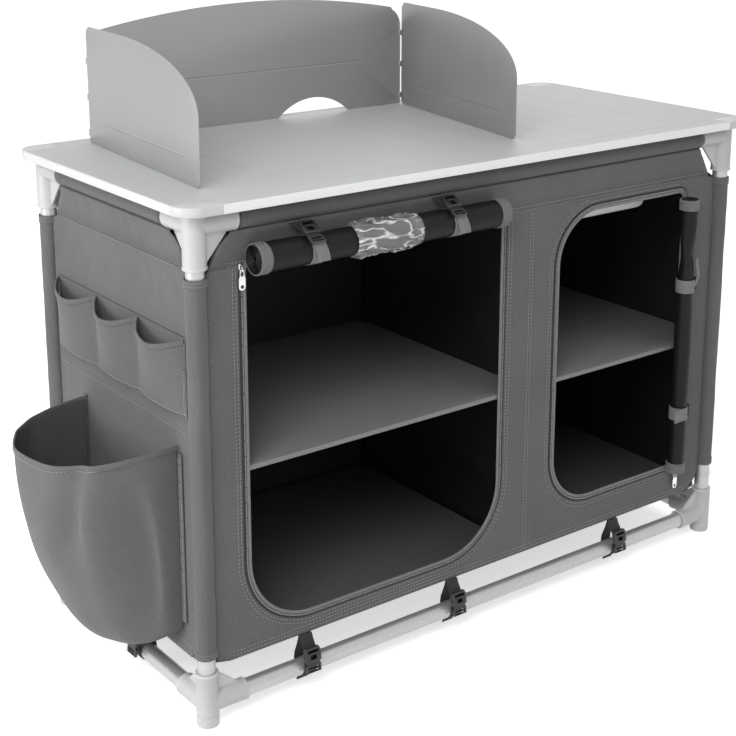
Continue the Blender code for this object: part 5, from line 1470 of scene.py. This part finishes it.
def sewFront():
    seamZ, divider = cloth["seamZ"], cloth["dividerX"]
    end, hemEnd = frontStitch["railEnd"], frontStitch["hemEnd"]
    runs = []
    for z, proud in ((seamZ + frontStitch["aboveSeam"], frontStitch["railProud"]),
                     (seamZ - frontStitch["belowSeam"], frontStitch["panelProud"])):
        runs.append(frontRun((-end, z), (end, z), proud))
    for outline in doorOutlines:
        dense = denser(outline)
        for distance in doorEdge["stitches"]:
            ring = [p for p in offsetOutline(dense, distance) if p[1] < seamZ - 0.008]
            ring = onFront(ring, doorEdge["stitchProud"])
            start = max(range(len(ring)), key=lambda k: (Vector(ring[k]) - Vector(ring[k - 1])).length)
            runs.append((ring[start:] + ring[:start], (0, -1, 0)))
    low, high = frontStitch["dividerEnds"]
    for x in (divider - frontStitch["divider"], divider + frontStitch["divider"]):
        runs.append(frontRun((x, low), (x, high), doorEdge["stitchProud"]))
    for rise in frontStitch["hem"]:
        z = cloth["hem"] + rise
        runs.append(frontRun((-hemEnd, z), (hemEnd, z), frontStitch["panelProud"]))
    addStitches("frontStitches", runs)


def sewSides():
    for side, sign in (("left", -1), ("right", 1)):
        lift, proud, runs = sideLift(side), Vector((sign * sideStitch["proud"], 0, 0)), []
        for half, edge, rise in sideStitch["lines"]:
            level = cloth[edge] + rise
            points = [lift(y, z) + proud for y, z in denser([(-half, level), (half, level)], closed=False)]
            runs.append((points, (sign, 0, 0)))
        addStitches(side + "Stitches", runs)


def sewSleeves():
    runs = []
    r = cloth["sleeveR"] + 0.0011
    heights = [cloth["sleeveLow"] + d for d in (0.0035, 0.009)]
    heights += [cloth["sleeveHigh"] - d for d in (0.0035, 0.009)]
    for tag, sx, sy, quarter in cornerPlaces:
        x, y = sx * legX, sy * legY
        for z in heights:
            ring = [(x + r * math.cos(a), y + r * math.sin(a), z) for a in spread(0, 2 * math.pi, 48)]
            for a, b in zip(ring, ring[1:]):
                middle = (Vector(a) + Vector(b)) / 2
                runs.append(([a, b], (middle.x - x, middle.y - y, 0)))
    addStitches("sleeveStitches", runs, hemStitch)


drawDoorEdge("left", doorOutlines[0])
drawDoorEdge("right", doorOutlines[1])
sewFront()
sewSides()
sewSleeves()
print("seams sewn")

# Rolled doors
roll = {"left": 0.0222, "right": 0.0162, "rise": 0.012, "core": 0.0055, "leftTurns": 6.0,
        "rightTurns": 4.6, "sheet": 0.0011, "perTurn": 30, "hem": 0.019, "short": 0.020,
        "leftRise": 0.0025, "rightShift": 0.004, "gap": 0.0006, "step": 0.007, "leftFlat": 0.52,
        "rightFlat": 0.30}
rollFold = {"bump": 0.0011, "squeeze": 0.0016, "squeezeWidth": 0.016, "twist": 0.0042, "slack": 0.002}
leftRollBox = unitBox("left_door_roll")
rightRollBox = unitBox("right_door_roll")
leftRollAxis = (leftRollBox[0] + leftRollBox[1]) / 2
leftRollAxis.y = leftRollBox[1].y - roll["gap"] - roll["left"]
leftRollAxis.z += roll["leftRise"]
leftRollAxis.x -= roll["short"] / 2
rightRollAxis = (rightRollBox[0] + rightRollBox[1]) / 2
rightRollAxis.y = rightRollBox[1].y - roll["gap"] - roll["right"]
rightRollAxis.x -= roll["rightShift"]
rightRollAxis.z += roll["rise"] / 2
leftRollWays = ((1, 0, 0), (0, -1, 0), (0, 0, 1))


def rollLie(centre, length, along, right, up):
    # how a roll lies: where it starts, and its three directions
    along, right, up = Vector(along), Vector(right), Vector(up)
    return {"start": centre - along * length / 2, "along": along, "right": right, "up": up}


def rollPoint(lie, s, angle, radius):
    across = lie["right"] * radius * math.cos(angle)
    return lie["start"] + lie["along"] * s + across + lie["up"] * radius * math.sin(angle)


def rollRadius(turnAngle, total, s, length, r, seed, pinches, twist):
    t = turnAngle / total
    base = roll["core"] + (r - roll["core"]) * t
    ease = min(s, length - s)
    bump = rollFold["bump"] * ripple(turnAngle % (2 * math.pi), s, seed, 0.9, 14)
    bump *= smoothStep(0.0, 0.03, ease)
    squeeze = sum(rollFold["squeeze"] * math.exp(-((s - p) / rollFold["squeezeWidth"]) ** 2)
                  for p in pinches)
    fold = 0.0
    if twist:
        spot, width = twist
        where = math.exp(-((s - spot) / width) ** 2)
        wave = 0.5 + 0.5 * math.sin(turnAngle * 2 + (s - spot) * 55)
        fold = -rollFold["twist"] * where * wave - rollFold["slack"] * where
    return base + (bump - squeeze + fold) * t


def rollMesh(name, lie, length, r, turns, seed, pinches, twist=None):
    # one sheet wound from the core outwards
    total = turns * 2 * math.pi
    steps = int(turns * roll["perTurn"])
    rows = []
    for s in spread(0, length, int(length / roll["step"])):
        row = []
        for angle in spread(0, total, steps):
            radius = rollRadius(angle, total, s, length, r, seed, pinches, twist)
            row.append(rollPoint(lie, s, angle - total + math.pi * 0.5, radius))
        rows.append(row)
    return gridMesh(name, rows, angle=60)


def hemRing(name, lie, s, width, r, ridges=3):
    # the bound edge of the door: a band of ribbed tape round the end of the roll
    profile = [(r + 0.0006 + 0.0007 * abs(math.sin(math.pi * u * ridges)), s + width * (u - 0.5))
               for u in spread(0, 1, ridges * 6)]
    profile += [(r - 0.0012, s + width / 2 - 0.0004), (r - 0.0012, s - width / 2 + 0.0004)]
    rows = []
    for radius, offset in profile:
        rows.append([rollPoint(lie, offset, a, radius + 0.0003 * math.sin(3 * a + offset * 40))
                     for a in ringAngles(48)])
    return gridMesh(name, rows, wrap=True, loop=True, angle=60)


def strapBand(name, lie, s, radius, width, lift, start, end):
    # webbing drawn tight round the roll
    path = [rollPoint(lie, s, math.radians(a), radius - 0.0012 + lift) for a in spread(start, end, 44)]
    return sweptMesh(name, path, (width, rollStrap["thickness"], rollStrap["ease"]), lie["along"])


def buckleMeshes(width, length):
    # a side release buckle lying in XY, its webbing running along Y
    w, h = width / 2, length / 2
    house = [(-w, -h * 0.05), (-w * 0.98, h * 0.75), (-w * 0.80, h), (w * 0.80, h), (w * 0.98, h * 0.75),
             (w, -h * 0.05),
             (w * 0.86, -h * 0.16), (-w * 0.86, -h * 0.16)]
    slotA = [(-w * 0.66, h * 0.62), (-w * 0.66, h * 0.80), (w * 0.66, h * 0.80), (w * 0.66, h * 0.62)]
    window = [(-w * 0.34, h * 0.08), (-w * 0.34, h * 0.40), (w * 0.34, h * 0.40), (w * 0.34, h * 0.08)]
    half = [(-w * 0.92, -h), (-w * 0.96, -h * 0.42), (-w * 0.80, -h * 0.30), (-w * 0.92, -h * 0.02),
            (-w * 1.06, h * 0.20), (-w * 1.02, h * 0.34), (-w * 0.84, h * 0.30), (-w * 0.60, -h * 0.12)]
    male = half + [(-x, y) for x, y in reversed(half)]
    slots = [[(-w * 0.66, -h * a), (-w * 0.66, -h * b), (w * 0.66, -h * b), (w * 0.66, -h * a)]
             for a, b in ((0.90, 0.78), (0.66, 0.54))]
    body = flatShape("house", house, 0.0075, [slotA, window], 0.0011)
    prongs = flatShape("prongs", male, 0.0042, slots, 0.0009)
    bar = roundedOutline((-w * 0.55, h * 0.46), (w * 0.55, h * 0.54), [0.0004] * 4, 3)
    return [body, prongs, flatShape("ridge", bar, 0.0088, (), 0.0004)]


def addBuckle(name, size, matrix, **lie):
    mesh = joined("buckle", buckleMeshes(*size))
    mesh.transform(matrix)
    addPiece(name, mesh, "blackMoulding", **lie)


def basis(centre, xAxis, yAxis):
    # a matrix that puts X along xAxis, Y along yAxis and Z square to both
    x, y = Vector(xAxis).normalized(), Vector(yAxis).normalized()
    z = x.cross(y).normalized()
    y = z.cross(x).normalized()
    matrix = Matrix.Identity(4)
    for k, axis in enumerate((x, y, z)):
        for row in range(3):
            matrix[row][k] = axis[row]
    return Matrix.Translation(centre) @ matrix


rollStrap = {"width": 0.022, "thickness": 0.0013, "ease": 0.0005, "buckle": (0.026, 0.042), "lift": 0.0009,
             "leftPinches": (0.21, 0.775), "hangerShift": 0.018, "hangerTop": 0.7525,
             "anchor": (-0.031, -0.005, 0.748, 0.7600), "tail": (0.021, 0.0012, 0.0005), "tailOpen": 0.0075}


def addRoll(side, lie, length, seed, pinches, twist=None):
    r = roll[side]
    mesh = rollMesh(side + "DoorRoll", lie, length, r, roll[side + "Turns"], seed, pinches, twist)
    piece = addPiece(side + "DoorRoll", mesh, "rollCoating", "frame", [side + "_door_roll"], "canvas")
    thicken(piece, roll["sheet"], 0.0)
    for i, s in enumerate((roll["hem"] / 2, length - roll["hem"] / 2)):
        ring = hemRing("hem", lie, s, roll["hem"], r)
        addPiece(f"{side}RollHem_{i + 1}", ring, "canvasBand")


def drawLeftRoll():
    centre, r = leftRollAxis, roll["left"]
    length = (leftRollBox[1] - leftRollBox[0]).x - roll["short"]
    lie = rollLie(centre, length, *leftRollWays)
    pinches = [length * share for share in rollStrap["leftPinches"]]
    addRoll("left", lie, length, 51, pinches)
    section = (rollStrap["width"], rollStrap["thickness"], rollStrap["ease"])
    for i, s in enumerate(pinches):
        x = centre.x - length / 2 + s
        band = strapBand("strap", lie, s, r, rollStrap["width"], rollStrap["lift"], -150, 128)
        addPiece(f"leftRollStrap_{i + 1}", band, "webbing")
        # the short dark strap that comes down from the rail seam and holds the buckle over the roll
        top = Vector((x - rollStrap["hangerShift"], frontFace - 0.0016, rollStrap["hangerTop"]))
        touch = Vector((x, centre.y - r * 0.62, centre.z + r * 0.80))
        path = [top, top + Vector((0.001, -0.0030, -0.0030)),
                top.lerp(touch, 0.5) + Vector((0, -0.002, 0.001)), touch]
        hanger = sweptMesh("hanger", path, section, lie["along"], angle=40)
        addPiece(f"leftRollHanger_{i + 1}", hanger, "darkWebbing")
        x0, x1, z0, z1 = rollStrap["anchor"]
        anchor = slabMesh("anchor", (x + x0, frontFace - 0.0018, z0), (x + x1, frontFace - 0.0004, z1),
                          (), 0.0003)
        addPiece(f"leftRollAnchor_{i + 1}", anchor, "darkWebbing")
        spot = top.lerp(touch, 0.72) + Vector((0, -0.0058, 0.0030))
        matrix = basis(spot, (1, 0, 0), -(touch - top).normalized())
        addBuckle(f"leftRollBuckle_{i + 1}", rollStrap["buckle"], matrix)
        # free end of the webbing, folded back and standing off the roll
        path = []
        for u in spread(0, 1, 8):
            angle = math.radians(38 - 62 * u)
            off = r + 0.0016 + rollStrap["tailOpen"] * u * u
            path.append(Vector((x + 0.004 * u, centre.y - off * math.cos(angle),
                                centre.z + off * math.sin(angle))))
        addPiece(f"leftRollTail_{i + 1}", sweptMesh("tail", path, rollStrap["tail"], lie["along"]),
                 "webbing")


film = {"left": -0.300, "right": -0.178, "columns": 59, "sides": 64, "off": 0.0021, "ridge": 0.0038,
        "thickness": 0.0003, "edges": (0.006, 0.008), "edgeWidth": 0.010, "edgeOff": 0.0012}


def drawFilm():
    # the clear window of the rolled door, showing as crinkled film between the straps
    centre, r = leftRollAxis, roll["left"]
    x0, x1 = film["left"], film["right"]
    rows = []
    for u in spread(0, 1, film["columns"]):
        x = x0 + (x1 - x0) * u
        ends = smoothStep(0.0, 0.10, min(u, 1 - u))
        ring = []
        for a in ringAngles(film["sides"]):
            ridges = []
            for n in (0, 1):
                drift = ripple(math.cos(a) + n, x * 20 + math.sin(a) * 2 + n * a, 61 + n, 1.6, 1.0)
                ridges.append(max(0.0, 1 - 3.2 * abs(drift)))
            off = r + film["off"] + film["ridge"] * (ridges[0] ** 2 + 0.6 * ridges[1] ** 2) * ends
            ring.append((x, centre.y - off * math.cos(a), centre.z + off * math.sin(a)))
        rows.append(ring)
    piece = addPiece("rollWindowFilm", gridMesh("film", rows, wrap=True, angle=22), "film")
    thicken(piece, film["thickness"], 1.0)
    length = (leftRollBox[1] - leftRollBox[0]).x
    lie = rollLie(centre, length, *leftRollWays)
    for i, x in enumerate((x0 + film["edges"][0], x1 - film["edges"][1])):
        s = x - (centre.x - length / 2)
        ring = hemRing("filmEdge", lie, s, film["edgeWidth"], r + film["edgeOff"], 2)
        addPiece(f"rollWindowEdge_{i + 1}", ring, "film")


rightStrap = {"heights": (0.267, 0.509), "width": 0.024, "lift": 0.0012, "buckle": (0.026, 0.024),
              "twist": (0.580, 0.050), "flatTail": (0.023, 0.0012, 0.0005),
              "edgeTail": (0.0012, 0.014, 0.0005)}


def drawRightRoll():
    centre, r = rightRollAxis, roll["right"]
    length = (rightRollBox[1] - rightRollBox[0]).z + roll["rise"]
    lie = rollLie(centre, length, (0, 0, 1), (1, 0, 0), (0, 1, 0))
    bottom = rightRollBox[0].z
    pinches = [height - bottom for height in rightStrap["heights"]]
    twist = (rightStrap["twist"][0] - bottom, rightStrap["twist"][1])
    addRoll("right", lie, length, 57, pinches, twist)
    for i, s in enumerate(pinches):
        band = strapBand("strap", lie, s, r, rightStrap["width"], rightStrap["lift"], -250, 62)
        addPiece(f"rightRollStrap_{i + 1}", band, "webbing")
        z = bottom + s
        spot = Vector((centre.x + r + 0.0065, centre.y + 0.004, z))
        addBuckle(f"rightRollBuckle_{i + 1}", rightStrap["buckle"], basis(spot, (0, 0, 1), (0.15, 1, 0)))
        path = []
        if i:
            for u in spread(0, 1, 11):
                x = centre.x + r * 0.55 + 0.010 * u + 0.005 * math.sin(u * 5)
                path.append(Vector((x, centre.y - r * 0.80 - 0.004 * u * (1 - u), z + 0.050 * u)))
            tail = sweptMesh("tail", path, rightStrap["edgeTail"], (0.5, -1, 0))
        else:
            for u in spread(0, 1, 8):
                path.append(Vector((centre.x + r * 0.35 - 0.034 * u, centre.y - r * (0.95 + 0.12 * u), z)))
            tail = sweptMesh("tail", path, rightStrap["flatTail"], (0, 0, 1))
        addPiece(f"rightRollTail_{i + 1}", tail, "webbing")


drawLeftRoll()
drawFilm()
drawRightRoll()
print("doors rolled")

# Side pockets and bottle bag
pocket = {"bulge": 0.029, "low": 0.478, "rim": 0.595, "sag": 0.016, "pitch": 0.134, "count": 3,
          "crease": 0.0022, "fullness": 1.16, "thickness": 0.0012, "backHalf": 0.2035,
          "binding": (0.0085, 0.0028, 0.0012), "bindingDrop": 0.0036, "rimStitch": 0.006}
bag = {"width": 0.297, "middle": -0.0235, "low": 0.092, "mouth": 0.412, "reach": 0.172, "sag": 0.017,
       "lift": 0.014, "valley": 0.040, "dent": 0.014, "fold": 0.016, "rearFolds": 0.0075,
       "thickness": 0.0013, "flat": (0.50, 0.38), "binding": (0.0090, 0.0026, 0.0011),
       "bindingDrop": 0.0038, "columns": 48, "rows": 44, "seamHalf": 0.006}
leftward = (-1, 0, 0)


def pocketPoint(i, t, v):
    # t across one pocket, v from the lower seam to the rim
    y0 = (i - pocket["count"] / 2) * pocket["pitch"]
    belly = math.sin(math.pi * t) ** 0.75 if 0 < t < 1 else 0.0
    fill = 0.22 + 0.78 * v ** 0.7
    crease = pocket["crease"] * math.sin(math.pi * t) * ripple(t + i, v, 71, 3.4, 1.6)
    depth = 0.0024 + pocket["bulge"] * belly * fill * 0.93 + crease * v
    rim = pocket["rim"] - pocket["sag"] * math.sin(math.pi * t)
    z = pocket["low"] + (rim - pocket["low"]) * v
    pull = 0.006 * math.sin(2 * math.pi * t) * (1 - v) * 0.4
    return Vector((leftFace - depth, y0 + pocket["pitch"] * t + pull, z))


def addRimBinding(name, path, section, drop):
    lowered = [p - Vector((0, 0, drop)) for p in path]
    addPiece(name, sweptMesh("rim", lowered, section, (0, 0, 1)), "canvas")


def onLeft(name, y0, y1, z0, z1, proud):
    # a flat strip of cloth on the outer face of the left side
    return slabMesh(name, (leftFace - proud, y0, z0), (leftFace - 0.0004, y1, z1), (), 0.0004)


def drawPockets():
    count, low, rim = pocket["count"], pocket["low"], pocket["rim"]
    rows = [[pocketPoint(i, k / 14, v) for i in range(count) for k in range(1 if i else 0, 15)]
            for v in spread(0, 1, 18)]
    front = addPiece("cutleryPocketFront", gridMesh("pockets", rows, angle=60), "canvas", "frame",
                     ["cutlery_pocket"], "canvas", second="coating")
    thicken(front, pocket["thickness"], 0.0)
    soften(front)
    half = pocket["backHalf"]
    addPiece("cutleryPocketBacking", onLeft("backing", -half, half, low - 0.006, rim + 0.002, 0.0018),
             "canvas")
    runs, rimPath = [], []
    proud = Vector((-0.0009, 0, 0))
    for i in range(count):
        v = 1 - pocket["rimStitch"] / (rim - low)
        runs.append(([pocketPoint(i, k / 24, v) + proud for k in range(1, 24)], leftward))
        rimPath += [pocketPoint(i, k / 20, 1.0) for k in range(1 if i else 0, 21)]
        runs.append(([pocketPoint(i, t, 0.035) + proud for t in spread(0, 1, 24)], leftward))
    for i in range(count + 1):
        y = (i - count / 2) * pocket["pitch"]
        for shift in (-0.0018, 0.0018):
            foot = low + 0.003
            runs.append(([(leftFace - 0.0034, y + shift, z) for z in spread(foot, foot + 0.108, 12)],
                         leftward))
    addStitches("pocketStitches", runs)
    addRimBinding("pocketRimBinding", rimPath, pocket["binding"], pocket["bindingDrop"])


def bagPoint(a, t):
    # a runs round the bag from its rear seam to its front seam, t from sole to mouth
    reach = bag["reach"] * (0.42 + 0.58 * math.sin(math.radians(90 * min(t, 1))) ** 0.55)
    half = bag["width"] / 2
    s, c = math.sin(a), math.cos(a)
    y = math.copysign(abs(c) ** 0.85, c) * half
    x = reach * max(s, 0.0) ** 0.78
    z = bag["low"] + (bag["mouth"] - bag["low"]) * t
    z += 0.045 * (1 - s) * (1 - t) - bag["sag"] * s * t ** 1.5 + bag["lift"] * (1 - c) / 2 * t ** 2
    # the cloth hangs in a valley beside the front seam and in a shallow dent further round
    front = math.exp(-((a - 2.66) / 0.24) ** 2) * math.sin(math.pi * min(max(t, 0), 1)) ** 0.8
    dent = math.exp(-(((a - 2.05) / 0.16) ** 2 + ((t - 0.62) / 0.22) ** 2))
    fold = math.exp(-(((a - 2.25 + (1 - t) * 0.75) / 0.13) ** 2)) * smoothStep(0.35, 0.75, t)
    low = math.exp(-((t - 0.10) / 0.12) ** 2)
    x -= bag["valley"] * front + bag["dent"] * dent * s + bag["fold"] * fold * s
    # soft folds that hang from the rim on the rear side
    rear = math.exp(-((a - 0.62) / 0.34) ** 2) * smoothStep(0.25, 0.7, t)
    x += bag["rearFolds"] * rear * math.sin(17 * a + 5 * t) * (1.25 - t)
    x += 0.005 * ripple(a, t, 81, 2.6, 2.2) * s + 0.0035 * low * math.sin(7 * a + 2) * s
    return Vector((leftFace - 0.0012 - max(x, 0.0), bag["middle"] + y, z))


def bagRing(t, count):
    return [bagPoint(math.pi * i / count, t) for i in range(count + 1)]


def drawBag():
    low, mouth, thickness = bag["low"], bag["mouth"], bag["thickness"]
    face = leftFace - 0.0012
    rows = []
    # sole folded under to the panel, then up to the mouth
    for q in (0.02, 0.35, 0.7):
        rows.append([Vector((face + (edge.x - leftFace + 0.0012) * q, edge.y, edge.z + 0.004 * (1 - q)))
                     for edge in bagRing(0.0, bag["columns"])])
    rows += [bagRing(t ** 1.15, bag["columns"]) for t in spread(0, 1, bag["rows"])]
    skin = addPiece("bottleBagSkin", gridMesh("bag", rows, angle=70), "canvas", "frame", ["bottle_bag"],
                    "canvas",
                    second="lining")
    if sum(f.normal.x for f in skin.data.polygons if f.center.x < leftFace - 0.12) > 0:
        skin.data.flip_normals()
    thicken(skin, thickness, -1.0, True)
    soften(skin)
    addRimBinding("bottleBagRim", bagRing(1.0, 60), bag["binding"], bag["bindingDrop"])
    rimLine = [bagPoint(math.pi * i / 90, 0.972) + Vector((-0.0016, 0, 0)) for i in range(3, 88)]
    runs = [(rimLine, leftward)]
    side, half = bag["width"] / 2 + 0.004, bag["seamHalf"]
    for tag, y in (("front", bag["middle"] - side), ("back", bag["middle"] + side)):
        addPiece("bottleBagSeam_" + tag, onLeft("seam", y - half, y + half, low + 0.05, mouth + 0.002,
                                                0.0020), "canvas")
        for shift in (-half / 2, half / 2):
            foot = low + 0.053
            runs.append(([(leftFace - 0.0022, y + shift, z) for z in spread(foot, foot + 0.262, 30)],
                         leftward))
    addStitches("bagStitches", runs)


drawPockets()
drawBag()
print("pockets sewn")

# Ties and zip sliders
tie = {"width": 0.0235, "webbing": 0.0014, "ease": 0.0005, "buckle": (0.029, 0.040), "buckleZ": 0.0530,
       "longTail": 0.0045, "shortTail": 0.0090, "backX": {"left": -0.370, "right": 0.305}}


def drawTie(name, covered, spot, turn, longTail):
    # webbing from the hem down in front of the rail, under it and back up, with its buckle in front
    r = tubeR + 0.0012
    front = [(-0.0010, 0.0880), (-0.0045, 0.0800), (-0.0125, 0.0680), (-r - 0.0006, 0.0560),
             (-r, lowZ + 0.004)]
    under = arcPoints((0, lowZ), r, 180, 360, 10)[1:-1]
    back = [(r, lowZ + 0.004), (r * 0.86, 0.055), (r * 0.45, 0.070), (0.0030, 0.0800), (0.0010, 0.0880)]
    path = [(0, y, z) for y, z in front + under + back]
    hang = [(0, -r * 0.2, lowZ - r - 0.0008), (0, 0.004, lowZ - r - 0.0030), (0, 0.0075, lowZ - r - 0.0080),
            (0, 0.0085, tie["longTail"] if longTail else tie["shortTail"])]
    parts = [sweptMesh(part, line, (width, tie["webbing"], tie["ease"]), (1, 0, 0))
             for part, line, width in (("loop", path, tie["width"]), ("tail", hang, tie["width"] * 0.96))]
    turned = (0, 0, turn)
    addPiece(name + "_webbing", joined(name, parts, 60), "darkWebbing", "frame", covered, "webbing",
             at=spot, turn=turned)
    matrix = basis((0, -r - 0.0058, tie["buckleZ"]), (1, 0, 0), (0, 0.16, 1))
    addBuckle(name + "_buckle", tie["buckle"], matrix, at=spot, turn=turned)


for side, x in tie["backX"].items():
    drawTie("tie_back_" + side, [], (x, legY, 0), math.pi, False)
for nodeName in sorted(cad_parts):
    if nodeName.startswith("tie_"):
        low, high = unitBox(nodeName)
        middle = (low + high) / 2
        side = nodeName.split("_")[1]
        spot, turn = {"front": ((middle.x, -legY, 0), 0), "left": ((-legX, middle.y, 0), -math.pi / 2),
                      "right": ((legX, middle.y, 0), math.pi / 2)}[side]
        drawTie(nodeName, [nodeName], spot, turn, side != "front")


zipPart = {"plate": 0.0024, "plateEase": 0.0006, "pull": 0.0017, "pullEase": 0.0005,
           "bridge": (0.0024, 0.0009, 0.0003)}


def drawZip(side):
    low, high = unitBox(f"{side}_zip_slider")
    middle = (low + high) / 2
    back = high.y
    w, h = (high.x - low.x) / 2, (high.z - low.z) / 2
    half = [(-w * 0.62, -h), (-w * 0.62, -h * 0.6), (-w, h * 0.1), (-w, h * 0.9), (-w * 0.9, h)]
    faceplate = half[3:] + [(-x, z) for x, z in reversed(half)] + half[:3]
    plate = flatShape("plate", faceplate, zipPart["plate"], (), zipPart["plateEase"])
    plate = moved(plate, (0, back - 0.0013, 0), upright)
    arch = [(0.0020, -0.0046), (0.0045, -0.0046), (0.0060, -0.0036), (0.0062, 0.0), (0.0060, 0.0036),
            (0.0045, 0.0046), (0.0020, 0.0046)]
    bridge = sweptMesh("bridge", [(0, back - y, z) for y, z in arch], zipPart["bridge"], (1, 0, 0),
                       angle=40)
    addPiece(f"{side}ZipSliderBody", joined("slider", [plate, bridge]), "zipMetal", "frame",
             [f"{side}_zip_slider"], "zip_metal", at=(middle.x, 0, middle.z))
    low, high = unitBox(f"{side}_zip_pull")
    centre = (low + high) / 2
    w = (high.x - low.x) / 2
    top, bottom = high.z - centre.z, low.z - centre.z
    outline = [(-w * 0.62, top), (w * 0.62, top), (w * 0.72, top - 0.010), (w, top - 0.0135)]
    outline += arcPoints((0, bottom + w), w, 0, -180, 14) + [(-w, top - 0.0135), (-w * 0.72, top - 0.010)]
    window = roundedOutline((-0.0024, top - 0.0092), (0.0024, top - 0.0018), [0.0008] * 4, 4)
    eye = arcPoints((0, bottom + w), w * 0.48, 0, 360, 20)[:-1]
    mesh = moved(flatShape("pull", outline, zipPart["pull"], [window, eye], zipPart["pullEase"]),
                 turn=upright)
    addPiece(f"{side}ZipPull", mesh, "zipMetal", f"pull_{side}", [f"{side}_zip_pull"], "zip_metal",
             at=tuple(centre))


drawZip("left")
drawZip("right")
print("ties and zips drawn")
